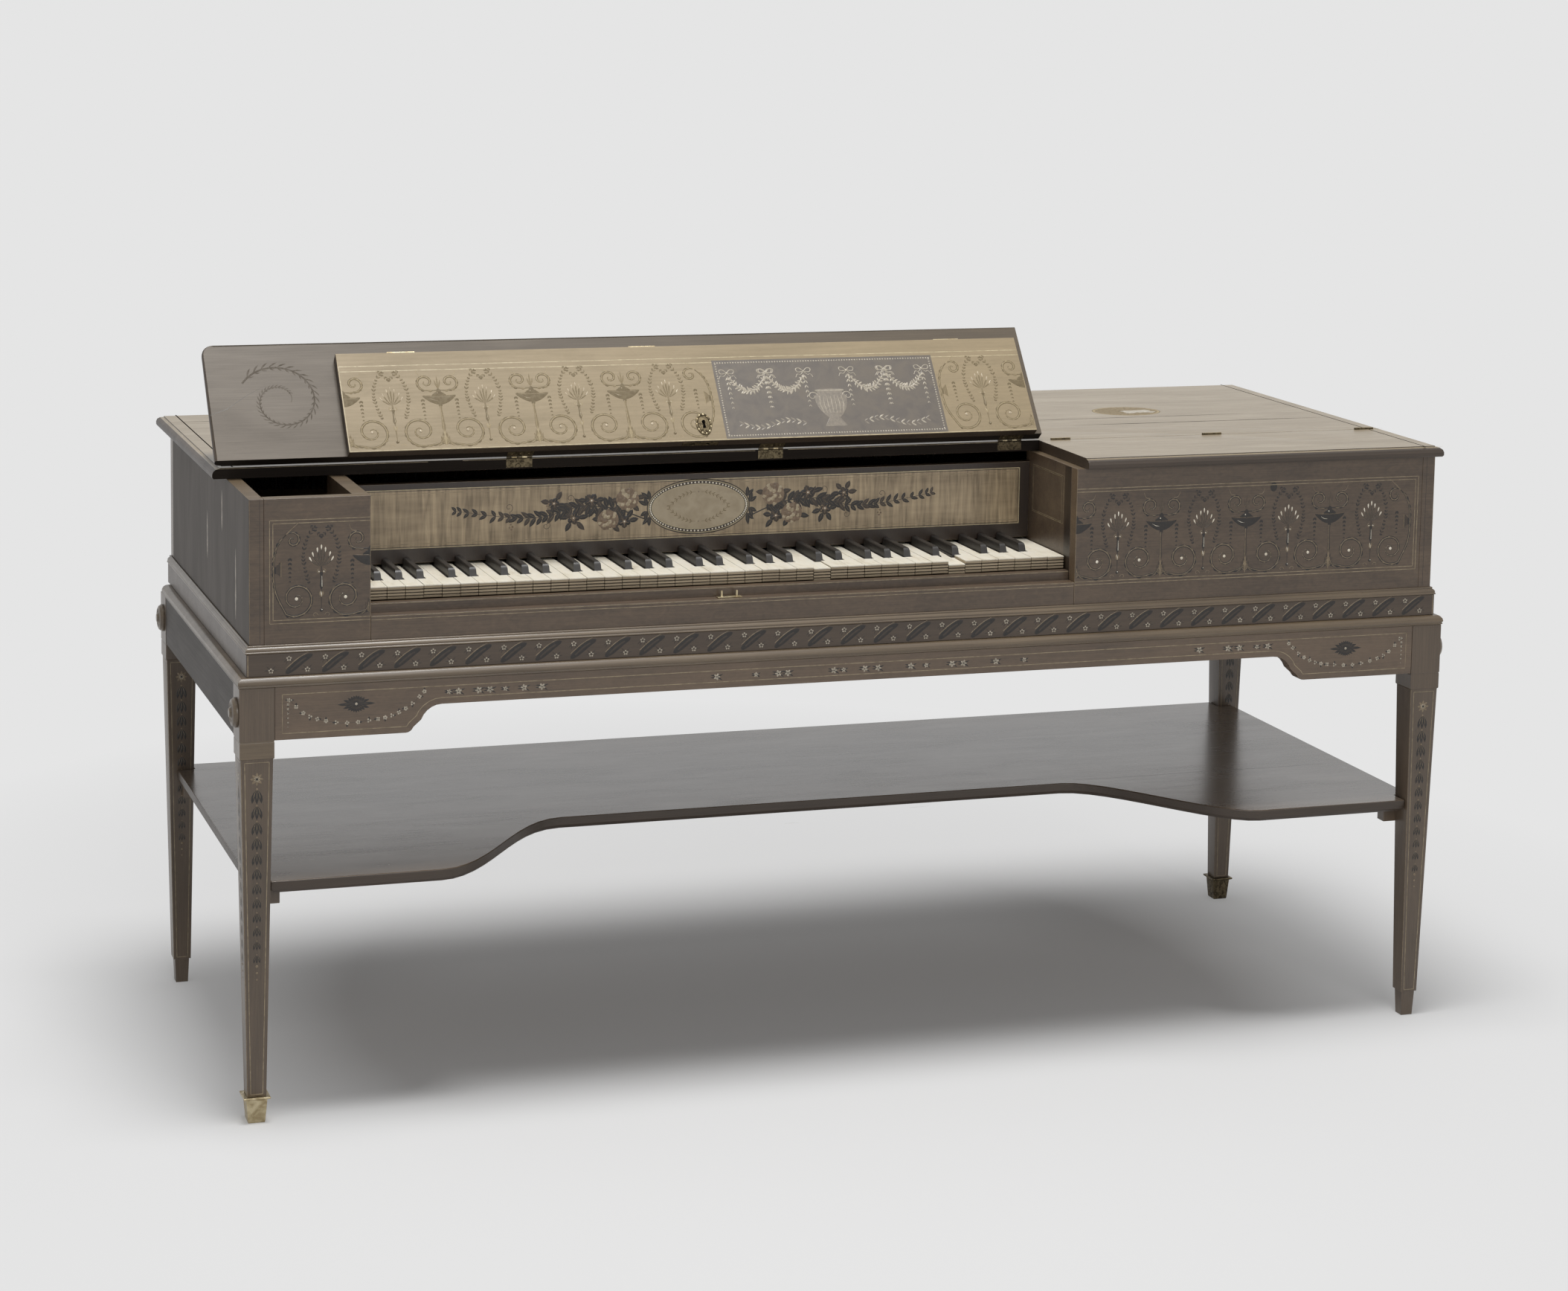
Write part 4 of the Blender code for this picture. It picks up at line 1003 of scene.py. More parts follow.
class Frieze(Relief):
    """Row of palmettes and lamp-shaped urns over acanthus scrolls, between ends."""

    half_pitch = 61.0
    eye = 30.5
    eye_height = 29.5
    coil = (22.5, 2.6)

    def __init__(self, face: Face, inks: Inks) -> None:
        """Start on a face, with its colours."""
        super().__init__(face)
        self.inks = inks

    def palmette(self, u: float) -> None:
        """Slim fan of pearl-tipped petals on a baluster, in a loose wreath of two garlands."""
        inks = self.inks
        foot = 68.5
        for i in range(-3, 4):
            side = (i > 0) - (i < 0)
            spread, length = ((0, 29.0), (16, 25.0), (37, 20.5), (60, 16.5))[abs(i)]
            lean = 90 - side * spread
            root = (u + i * 0.7, foot)
            self.petal(root, lean, length * 0.8, 2.4, inks.dark, side * 12, 0.1, 0.7)
            self.petal(root, lean, length * 0.8, 0.7, inks.light, side * 12, 0.16, 0.8)
            tip = polar(root, length * 0.7, lean + side * 3)
            self.petal(tip, lean + side * spread * 0.4, 6.6, 2.2, inks.pearl, side * 14, 0.34, 0.7)
        self.ridge([(u, foot), (u, foot - 6)], [2.0, 3.0], inks.mid)
        body = [(u, foot - down) for down in (7, 11, 18, 24, 28)]
        self.ridge(body, [6.0, 3.0, 3.0, 4.8, 1.6], inks.dark, 0.2)
        self.ridge([(u + 0.5, foot - 12), (u + 0.7, foot - 25)], [0.6, 1.2], inks.pearl, 0.34)
        self.ridge([(u, foot - 28), (u, foot - 36), (u, foot - 52)], [1.4, 2.2, 1.0], inks.mid)
        self.petal((u + 0.4, foot - 37), 100, 7, 1.5, inks.pearl, 0, 0.3)
        self.pearl((u, foot - 54), 2.0, inks.dark)
        self.pearl((u + 0.5, foot - 53.4), 0.9, inks.pearl, 0.8)
        for side in (-1, 1):
            curl = spiral((u + side * 3.0, foot - 6.5), 3.0, 0.6, 90, side * -330, 8)
            self.ridge(curl, [0.9] * 9, inks.light, 0.16)
            self.pearl((u + side * 3.0, foot - 6.5), 0.8, inks.pearl)
            self.petal((u, foot - 38), 90 + side * 26, 8, 2.8, inks.light, side * -24, 0.2)
            hook = spiral((u + side * 8.0, foot - 60.0), 4.0, 1.0, 90 + side * 90, side * -250, 6)
            self.ridge(hook, [0.7] * 7, inks.light, 0.12)
            way = curve(mirrored([(6, 118), (17, 104), (22, 84), (20, 66), (15, 48)], u, side), 4)
            self.garland(way, 5.2, 2.4, side)
            self.garland(curve(mirrored([(-2, 104), (5, 110), (13, 119)], u, side), 3), 4.2, 2.2, side)

    def garland(self, way: Path, length: float, width: float, side: int) -> None:
        """Add a thin stem with pairs of dark leaves along a path.

        Args:
            way: the stem's path.
            length: a leaf's length in millimetres.
            width: a leaf's width in millimetres.
            side: which way the leaf pairs lean.
        """
        inks = self.inks
        self.ridge(way, [0.35] * len(way), inks.mid, 0.06)
        for i in range(1, len(way)):
            facing = heading(way, i) + 180
            for lean in (-38, 38):
                material = inks.dark if (i + (lean > 0)) % 3 else inks.mid
                reach = length * (0.6 + 0.12 * (i % 4))
                self.petal(way[i], facing + lean, reach, width, material, lean * side * 0.2, 0.08)

    def drop(self, u: float, top: float) -> None:
        """Hanging string of dark bell leaves."""
        for i in range(6):
            size = 1 - i * 0.1
            root = (u, top - 2 - i * 5.6)
            for lean in (-34, 34):
                self.petal(root, -90 + lean, 4.6 * size, 3.2 * size, self.inks.dark, -lean * 0.3, 0.1)

    def urn(self, u: float, sides: tuple[int, ...]) -> None:
        """Lamp-shaped urn on a leafy stand, with curls over it and a scroll at each side.

        Args:
            u: its middle in millimetres.
            sides: the sides that are drawn: -1 left, 1 right.
        """
        inks = self.inks
        bowl = 75.5
        rim = [(0, 3.6), (8, 3.8), (15, 4.2), (21.8, 5.2), (18, 0.5), (11, -4.8), (4.5, -7.6), (0, -8.0)]
        lid = [
            (0, 4.4), (9.5, 4.6), (7.5, 7.6), (4.2, 10.0), (2.4, 11.0), (1.2, 13.0), (1.7, 14.6), (0, 16.2),
        ]
        for side in sides:
            for outline, top in ((rim, 0.12), (lid, 0.14)):
                self.patch(mirrored(curve(outline, 2), u, side, bowl), inks.dark, top, 0.16)
            lip = [(u + side * a, bowl + 4.8 + a * 0.03) for a in (1, 10, 20.5)]
            self.ridge(lip, [0.4, 0.5, 0.3], inks.light, 0.34)
            curl = spiral((u + side * 15.5, bowl + 25), 12.0, 1.6, -100, side * 470, 24)
            self.frond(mirrored([(2, 13), (8, 12.6)], u, side, bowl) + curl, side, 5.4)
            whisk = curve(mirrored([(17, 35), (23, 36.5), (26, 43)], u, side, bowl), 4)
            self.ridge(whisk, [1.2 - 0.1 * i for i in range(9)], inks.light, 0.12)
            self.drop(u + side * 22.0, bowl + 2.5)
            self.scroll((u + side * (self.half_pitch - self.eye), self.eye_height), side, u)
            root = (u + side * 0.8, 9)
            for lean, length in ((14, 19), (30, 14), (48, 9)):
                self.petal(root, 90 - side * lean, length, 3.2, inks.mid, side * 18)
                self.petal(root, 90 - side * lean, length * 0.85, 0.8, inks.light, side * 18, 0.24)
        if len(sides) == 2:
            glint = [(u - 13, bowl + 1.2), (u - 8, bowl - 1.4), (u - 3, bowl - 2.2)]
            self.ridge(glint, [0.3, 1.2, 0.3], inks.pearl, 0.4)
            self.pearl((u - 1.6, bowl + 8.4), 0.9, inks.pearl, 0.8)
            for lean, length in ((0, 20), (-22, 14), (22, 14)):
                self.petal((u, bowl + 15), 90 + lean, length, 2.2, inks.mid, lean * -0.6)
                self.petal((u, bowl + 15), 90 + lean, length * 0.9, 0.7, inks.light, lean * -0.6, 0.2)
            self.ridge([(u, bowl - 8), (u, bowl - 10.5)], [5.0, 5.0], inks.dark, 0.22)
            stem = [(u, bowl - down) for down in (10, 16, 32, 42, 48)]
            self.ridge(stem, [4.0, 2.4, 4.0, 5.2, 2.0], inks.mid, 0.2)
            self.ridge(mirrored(stem, -0.6, 1), [1.6, 0.8, 1.3, 2.0, 0.6], inks.light, 0.26)
            self.petal((u, 6), 90, 26, 4.0, inks.light, 0, 0.22)

    def frond(self, path: Path, side: int, length: float) -> None:
        """Acanthus arm: a dark and a light stem, with lobes along its outer side.

        Args:
            path: its middle line.
            side: 1 where it winds counter-clockwise, -1 where it winds clockwise.
            length: its longest lobe in millimetres.
        """
        inks = self.inks
        count = len(path)
        widths = [1.3 + 2.7 * sin(pi * min(1.0, i / count * 1.15)) for i in range(count)]
        for i in range(1, count - 4):
            size = 1.1 - i / count
            lean = heading(path, i) - side * 24
            tint = inks.mid if i % 2 else inks.dark
            self.petal(path[i], lean, length * size, 4.2 * size, tint, side * 44, 0.1, 0.4)
            if i % 2:
                self.petal(path[i], lean, length * size, 1.1, inks.light, side * 44, 0.2)
            elif i < count * 0.6:
                reach = length * 0.55 * size
                self.petal(path[i], lean + side * 50, reach, 2.2 * size, inks.dark, -side * 30, 0.12)
        self.ridge(path, widths, inks.dark, 0.16)
        self.ridge(path[1:-1], [0.42 * w for w in widths[1:-1]], inks.light, 0.24)

    def scroll(self, middle: Point2, side: int, root: float) -> None:
        """Acanthus scroll that leaves a stem's foot and winds round a pearl.

        Args:
            middle: its eye.
            side: 1 for a scroll that runs to the right of its root, -1 to the left.
            root: where its stem starts across the face.
        """
        start = [
            (root + side * 1.5, 25.0), (root + side * 5.0, 13.0), (middle[0] - side * 9.0, middle[1] - 21.0),
        ]
        wound = spiral(middle, *self.coil, -90 - side * 12, side * 590, 32)
        self.frond(curve(start, 3)[:-1] + wound, side, 8.4)
        self.pearl(middle, 2.0, self.inks.pearl, 0.8)

    def arm(self, u: float, side: int) -> None:
        """Leafy arm that rises along the frieze's end to a curl, with a small half device.

        Args:
            u: the last palmette's middle.
            side: 1 at the right end, -1 at the left.
        """
        inks = self.inks
        eye = (u + side * self.eye, self.eye_height)
        stops = [
            (26.6, 123.6), (38.4, 113.2), (51, 99.2), (56.9, 83), (58.3, 63.1), (56.6, 41.1), (49.4, 22.5),
        ]
        rise = curve(mirrored(stops, u, side), 3)
        self.frond(rise[4:-1] + spiral(eye, *self.coil, -90 + side * 34, -side * 610, 34), -side, 6.6)
        self.ridge(rise[:6], [0.4, 0.7, 1.0, 1.2, 1.3, 1.4], inks.light, 0.16)
        self.pearl(eye, 2.0, inks.pearl, 0.8)
        self.frond(spiral((u + side * 35, 101.5), 10.0, 1.6, 90 - side * 30, side * 430, 20), side, 4.6)
        flag = [(54.6, 72), (49.3, 75.6), (49.3, 57), (54, 61)]
        self.patch(mirrored(flag, u, side), inks.mid, 0.14)
        self.patch(mirrored([(60, 68), (54.8, 70.5), (54.8, 61), (59, 62)], u, side), inks.dark, 0.12)
        self.band(mirrored(flag[:3], u, side), 0.8, inks.light, 0.24)
        self.drop(u + side * 38.4, 82.0)

    def row(
        self, palmettes: list[float], urns: list[tuple[float, tuple[int, ...]]],
        arms: list[tuple[float, int]],
    ) -> None:
        """Draw the whole frieze.

        Args:
            palmettes: middles of the palmettes.
            urns: middles of the urns, with the sides that are drawn.
            arms: palmettes that an end arm rises beside, with the end's side.
        """
        for u in palmettes:
            self.palmette(u)
        for u, sides in urns:
            self.urn(u, sides)
        for u, side in arms:
            self.arm(u, side)


def front_face(y: float, z: float = 0.0) -> Face:
    """Face that looks at the player, with its corner at a depth and height in case millimetres."""
    return Face(at(0.0, y, z), ALONG, UPRIGHT)


def side_face(x: float, side: int) -> Face:
    """Face that looks left (-1) or right (1); across runs to the front on the left, else to the back."""
    return Face(at(x, 0.0, 0.0), BACK * side, UPRIGHT)


def top_face(z: float) -> Face:
    """Face that looks up: across to the right, up to the spine."""
    return Face(at(0.0, 0.0, z), ALONG, BACK)


def turned(angle: float, y: float, z: float) -> Matrix:
    """Turn about a line along x through a depth and height in case millimetres."""
    pivot = at(0.0, y, z)
    return Matrix.Translation(pivot) @ Matrix.Rotation(radians(angle), 4, "X") @ Matrix.Translation(-pivot)


@dataclass
class Case:
    """Case: its boards, strings, painted friezes, mouldings and ribbon band."""

    palette: Palette
    width: float = 1600.0
    keywell: Span = (148.6, 1078.1)
    string_inset: float = 25.0
    string_height: Span = (623.5, 750.0)
    string_gap: float = 4.0
    plinth: Span = (560.3, 587.7)
    plinth_front: float = -4.5
    ribbon_pitch: float = 44.5
    inner_depth: Span = (18.3, 172.3)

    def build(self) -> None:
        """Make the boards and everything on them."""
        self.boards()
        self.strings()
        self.friezes()
        self.cheeks()
        self.ribbons()
        self.wear()

    def boards(self) -> None:
        """Give each board its veneer outside and plain wood inside."""
        p = self.palette

        def panel(normal: Vector, middle: Vector) -> Material:
            """Veneer on the front, a rubbed rim on top, oak behind."""
            if normal.y < -0.5:
                return p.case_veneer
            return p.moulding if normal.z > 0.5 else p.oak

        def end(normal: Vector, middle: Vector) -> Material:
            """Upright veneer outside, darkened as painted shade, a rubbed rim on top, oak within."""
            outward = -1 if middle.x < self.width / 2 else 1
            if normal.x * outward > 0.5:
                return p.end_veneer
            return p.moulding if normal.z > 0.5 else (p.case_veneer if normal.y < -0.5 else p.oak)

        def spine(normal: Vector, middle: Vector) -> Material:
            """Plain mahogany behind, oak inside."""
            return p.moulding if normal.z > 0.5 else (p.oak if normal.y < -0.5 else p.stand)

        for node in ("front_left_panel", "front_right_panel"):
            dress(node, panel)
        for node in ("case_left_end", "case_right_end"):
            dress(node, end)
        dress("spine", spine)
        dress("base_rail", p.case_veneer)
        dress("case_moulding", p.moulding, 0.5)
        dress("case_plinth", p.ground)
        dress("bottom_board", p.oak)
        dress("belly_rail", p.oak)
        for node in ("cheek_left", "cheek_right"):
            dress(node, lambda n, m: p.case_veneer if abs(n.x) > 0.5 else p.moulding)

    def strings(self) -> None:
        """Let the double light lines into the panels and the rail under the keys."""
        p = self.palette
        low, high = self.string_height
        relief = Relief(front_face(0.0))
        for step in (0.0, self.string_gap):
            left, right = self.string_inset + step, self.width - self.string_inset + 1 - step
            bottom, top = low + step, high - step
            relief.box((left, bottom), (self.keywell[0] - 0.5, top), 0.9, p.string, 1)
            relief.box((self.keywell[1] + 0.5, bottom), (right, top), 0.9, p.string, -1)
        for height in (626.6, 622.6):
            relief.band([(149.4, height), (1077.4, height)], 0.8, p.string)
        for u in (self.string_inset - 12.0, self.width - self.string_inset + 13.0):
            relief.band([(u, 600.0), (u, 775.6)], 0.5, p.string_dark)
        relief.build("case_front_strings", "case_and_stand", "case_wood")

    def friezes(self) -> None:
        """Paint the two panels' friezes."""
        p = self.palette
        inks = Inks(p.leaf_dark, p.leaf_mid, p.leaf_light, p.pearl)
        left = Frieze(front_face(0.0, self.string_height[0]), inks)
        left.row([88.0], [(148.0, (-1,))], [(88.0, -1)])
        left.build("left_panel_frieze", "case_and_stand", "case_wood")
        right = Frieze(front_face(0.0, self.string_height[0]), inks)
        palmettes = [1138.0, 1261.0, 1384.0, 1507.0]
        urns = [(1078.8, (1,)), (1199.7, (-1, 1)), (1322.4, (-1, 1)), (1445.0, (-1, 1))]
        right.row(palmettes, urns, [(1507.0, 1)])
        right.build("right_panel_frieze", "case_and_stand", "case_wood")

    def cheeks(self) -> None:
        """String and band the keywell's cheeks."""
        p = self.palette
        front, back = self.inner_depth
        for node, x, side in (("cheek_left", 148.6, 1), ("cheek_right", 1078.1, -1)):
            relief = Relief(side_face(x, side))
            near, far = sorted((front * side, (back - 13.0) * side))
            mouth = front * side + side * 11.0
            relief.plate((mouth - 10.0, 630.0), (mouth + 10.0, 775.4), p.banding, 0.03)
            for inset, width, material in (
                (25.0, 0.8, p.string), (28.5, 0.6, p.string_dark), (30.5, 0.8, p.string),
            ):
                ends = (near + inset, far - inset * 0.45) if side > 0 else (near + inset * 0.45, far - inset)
                relief.box((ends[0], 690.0 + inset * 0.3), (ends[1], 768.0 - inset * 0.3), width, material)
            relief.build(f"{node}_banding", "case_and_stand", "case_wood")

    def ribbons(self) -> None:
        """Paint the plinth band's row of ribbons and flowers."""
        p = self.palette
        relief = Relief(front_face(self.plinth_front, self.plinth[0]))
        count = int(self.width / self.ribbon_pitch)
        start = (self.width - count * self.ribbon_pitch) / 2
        for i in range(count + 1):
            u = start + (i - 0.5) * self.ribbon_pitch
            if 2.0 < u < self.width - 36.0:
                body = curve(mirrored([(0, 2.2), (7, 8.0), (14, 14.0), (22, 19.5), (33, 25.0)], u, 1), 4)
                shape = [0.4 + 10.6 * sin(pi * j / 16) ** 0.5 for j in range(17)]
                relief.ridge(body, shape, p.leaf_dark, 0.1)
                edge, fold = mirrored(body[2:-1], -3.0, 1, 3.6), mirrored(body[3:-3], 0.6, 1, -0.2)
                relief.ridge(edge, [width * 0.13 for width in shape[2:-1]], p.leaf_light, 0.16)
                relief.ridge(fold, [width * 0.3 for width in shape[3:-3]], p.leaf_mid, 0.2)
            for v, lift, shift in ((20.8, 1, 4.0), (6.2, -1, 26.5)):
                middle = (u + shift, v)
                if not 4.0 < middle[0] < self.width - 4.0:
                    continue
                for lean in (-70, -35, 35, 70):
                    relief.petal(middle, -90.0 * lift + lean, 8.4, 2.2, p.leaf_mid, -lean * 0.5 * lift, 0.08)
                for q in ellipse(middle, 2.3, 2.3, 5, 18.0):
                    relief.pearl(q, 1.1, p.stone, 0.3)
                relief.pearl(middle, 0.8, p.leaf_mid, 0.4)
        for u in (-2.5, self.width + 2.5):
            relief.band([(u, 0.8), (u, 26.6)], 1.0, p.string)
        relief.build("plinth_ribbon_band", "case_and_stand", "case_wood")

    def wear(self) -> None:
        """Rub the outer arrises pale and add the worn streaks and stains."""
        p = self.palette
        relief = Relief(side_face(0.0, -1))
        rng = random.Random(7)
        for y, low, high in ((196.0, 704.0, 757.0), (310.0, 650.0, 712.0), (96.0, 612.0, 700.0)):
            path = [(-y + rng.uniform(-0.6, 0.6), low + (high - low) * i / 6) for i in range(7)]
            relief.ridge(path, [1.5, 7.0, 11.0, 6.0, 9.0, 6.0, 1.0], p.leaf_light, 0.04)
        for _ in range(26):
            y, z = rng.uniform(20, 590), rng.uniform(606, 745)
            path = [(-y, z), (-y + rng.uniform(-0.8, 0.8), z + rng.uniform(8, 26))]
            relief.ridge(path, [0.3, 0.2], p.edge, 0.02)
        relief.build("left_end_worn_streaks", "case_and_stand", "case_wood")
        front = Relief(front_face(0.0))
        front.patch(ellipse((1361.0, 743.0), 5.0, 6.4, 12, 8.0), p.leaf_dark, 0.03)
        for u in (0.6, 148.0, 1078.7, 1599.4):
            path = [(u + rng.uniform(-0.12, 0.12), 600.0 + 175.0 * i / 12) for i in range(13)]
            front.ridge(path, [rng.uniform(0.3, 1.0) for _ in range(13)], p.leaf_light, 0.04)
        front.build("case_front_worn_arrises", "case_and_stand", "case_wood")


@dataclass
class NameBoard:
    """Board behind the keys, with its crossbanded border, painted sprays and plain oval."""

    palette: Palette
    left: float = 148.9
    right: float = 1077.8
    front: float = 160.0
    bottom: float = 660.2
    top: float = 762.3
    oval_middle: Point2 = (614.0, 718.7)
    oval_half: Point2 = (70.0, 36.5)
    spray_reach: float = 252.0

    def build(self) -> None:
        """Make the board and its ornament."""
        p = self.palette
        dress("nameboard", lambda n, m: p.curly if n.y < -0.5 else p.banding)
        relief = Relief(front_face(self.front))
        self.border(relief)
        self.oval(relief)
        self.sprays(relief)
        relief.build("nameboard_painting", "case_and_stand", "satinwood")

    def border(self, relief: Relief) -> None:
        """Crossband the board's edge between fine light and dark lines."""
        p = self.palette
        left, right = self.left + 0.3, self.right - 0.3
        # The lower crossband's dark wood also stands for the keys' shadow on it: painted shade.
        for low, high in ((self.bottom + 0.3, self.bottom + 19.0), (self.top - 8.0, self.top - 0.3)):
            relief.plate((left, low), (right, high), p.banding, 0.03)
        for low, high in ((left, left + 14.0), (right - 14.0, right)):
            relief.plate((low, self.bottom + 18.9), (high, self.top - 7.9), p.banding, 0.03)
        for step, width, material in (
            (0.0, 0.9, p.string_pale), (1.5, 0.7, p.string_dark), (5.2, 0.7, p.string),
        ):
            low = (left + 14.0 + step, self.bottom + 19.0 + step)
            relief.box(low, (right - 14.0 - step, self.top - 8.0 - step), width, material)

    def oval(self, relief: Relief) -> None:
        """Pale oval ground in a pearl border, with a thin wreath."""
        p = self.palette
        wide, tall = self.oval_half
        middle = self.oval_middle
        rings = (
            (0.0, p.leaf_mid, 0.05), (1.6, p.string_pale, 0.08), (2.6, p.leaf_mid, 0.11),
            (6.6, p.string_pale, 0.14), (7.4, p.oval, 0.17),
        )
        for inset, material, top in rings:
            relief.patch(ellipse(middle, wide - inset, tall - inset, 72), material, top)
        for spot in ellipse(middle, wide - 4.6, tall - 4.6, 84):
            relief.pearl(spot, 1.15, p.pearl, 0.5)
        inks = Inks(p.leaf_mid, p.faint_dark, p.rose_light, p.pearl)
        for side in (-1, 1):
            for height in (-1, 1):
                stops = [(4 + 5 * i, height * (19.5 - 0.35 * i * i)) for i in range(8)]
                path = mirrored(stops, middle[0], side, middle[1])
                relief.ridge(path, [0.5] * 8, p.faint_dark, 0.26)
                for i in range(1, 8):
                    for lean in (-40, 40):
                        relief.petal(path[i], heading(path, i) + lean, 4.4, 1.7, p.faint_mid, 0.0, 0.28)
            relief.blossom((middle[0], middle[1] + side * 19.5), 4.0, 5, inks)

    def sprays(self, relief: Relief) -> None:
        """Sprays beside the oval: dense with roses and dark blooms near it, thin at their ends."""
        p = self.palette
        rng = random.Random(21)
        level = self.oval_middle[1]
        for side in (-1, 1):
            base = self.oval_middle[0] + side * self.oval_half[0]
            stops = [(2, -14), (45, 2), (92, 5), (140, -6), (190, -4), (self.spray_reach, 6)]
            stem = curve(mirrored(stops, base, side, level), 6)
            relief.ridge(stem, [1.9 - 1.5 * i / 30 for i in range(31)], p.leaf_dark, 0.12)
            for t in range(-66, 67, 12):
                angle = radians(t)
                across = (self.oval_half[0] + 2) * (cos(angle) - 1)
                root = (base + side * across, level + (self.oval_half[1] + 1) * sin(angle))
                for lean in (26, 68):
                    turn = 90 - side * 90 + side * (t + lean * (1 if t > 0 else -1))
                    self.leaf(relief, root, turn, rng.uniform(11, 16), 6.6)
            for i in range(4, 31):
                size = 1.15 - 0.6 * i / 30
                for lean in (-58, 54) if i < 12 else (-36, 40):
                    turn = heading(stem, i) + lean + rng.uniform(-14, 14)
                    self.leaf(relief, stem[i], turn, rng.uniform(14, 19) * size, 9.0 * size)
            blooms = (
                (26, 13, 15.5, 1), (52, -13, 14.5, 1), (74, 13, 10.0, 0), (30, -16, 9.0, 0), (98, -9, 9.0, 0),
                (124, 11, 8.0, 0),
            )
            for a, b, radius, pale in blooms:
                middle = (base + side * (a + 6 * (side > 0)), level + b)
                for i in range(6):
                    turn = 60 * i + rng.uniform(-16, 16)
                    self.leaf(relief, polar(middle, radius * 0.7, turn), turn, rng.uniform(11, 16), 8.4)
                if pale:
                    self.rose(relief, middle, radius, rng)
                else:
                    self.bloom(relief, middle, radius, rng.uniform(0, 72))
            for i, turn in ((13, 80), (17, -80), (23, 80)):
                way = 90 - side * 90 + turn * side
                begin = stem[i]
                curl = spiral(polar(begin, 13, way), 6.0, 1.2, way + 180, copysign(400, turn), 16)
                relief.ridge([begin, *curl], [0.7] * (len(curl) + 1), p.leaf_mid, 0.1)
                self.berries(relief, (begin[0], begin[1] - copysign(9, turn)), way + 180)

    def leaf(self, relief: Relief, root: Point2, turn: float, length: float, width: float) -> None:
        """Dark leaf with a light midrib, left out where it would cross the border.

        Args:
            relief: where it is painted.
            root: where it starts.
            turn: its direction in degrees.
            length: its length in millimetres.
            width: its width in millimetres.
        """
        p = self.palette
        if abs(root[1] + length * sin(radians(turn)) - self.oval_middle[1] + 2.0) < 29.0:
            tint = p.leaf_mid if int(root[0]) % 3 == 0 else p.leaf_dark
            relief.petal(root, turn, length, width, tint, 8.0, 0.16, 0.4)
            relief.petal(root, turn, length * 0.8, 0.5, p.leaf_light, 8.0, 0.26)

    def bloom(self, relief: Relief, middle: Point2, radius: float, turn: float) -> None:
        """Dark open flower with a pale eye."""
        p = self.palette
        for i in range(5):
            tint = p.leaf_mid if i % 2 else p.leaf_dark
            relief.petal(middle, turn + 72 * i, radius, radius * 0.95, tint, 0.0, 0.3, 0.62)
            relief.petal(middle, turn + 72 * i, radius * 0.8, radius * 0.12, p.rose, 0.0, 0.42, 0.5)
        relief.patch(ellipse(middle, radius * 0.3, radius * 0.27, 12), p.rose, 0.44)
        relief.pearl(middle, radius * 0.15, p.pearl, 0.6)

    def rose(self, relief: Relief, middle: Point2, radius: float, rng: random.Random) -> None:
        """Full rose: rings of overlapping pale petals.

        Args:
            relief: where it is painted.
            middle: its middle in millimetres.
            radius: its radius.
            rng: the source of its unevenness.
        """
        p = self.palette
        relief.patch(ellipse(middle, radius, radius * 0.9, 14), p.rose, 0.24, 0.1)
        for ring, (share, count) in enumerate(((0.6, 9), (0.4, 7), (0.2, 5), (0.05, 3))):
            for i in range(count):
                turn = 360 * i / count + ring * 25 + rng.uniform(-8, 8)
                root = polar(middle, radius * share, turn)
                material = p.rose_light if (i + ring) % 2 else p.rose
                relief.petal(root, turn, radius * 0.4, radius * 0.62, material, 0.0, 0.34 + ring * 0.14, 0.62)

    def berries(self, relief: Relief, root: Point2, turn: float) -> None:
        """Small cluster of berries on a twig."""
        for i, (out, over) in enumerate(((0, 0), (3.6, 2.0), (3.6, -2.0), (6.6, 0.2))):
            spot = polar(polar(root, out, turn), over, turn + 90)
            relief.pearl(spot, 1.3, self.palette.rose if i % 2 else self.palette.leaf_light, 0.5)


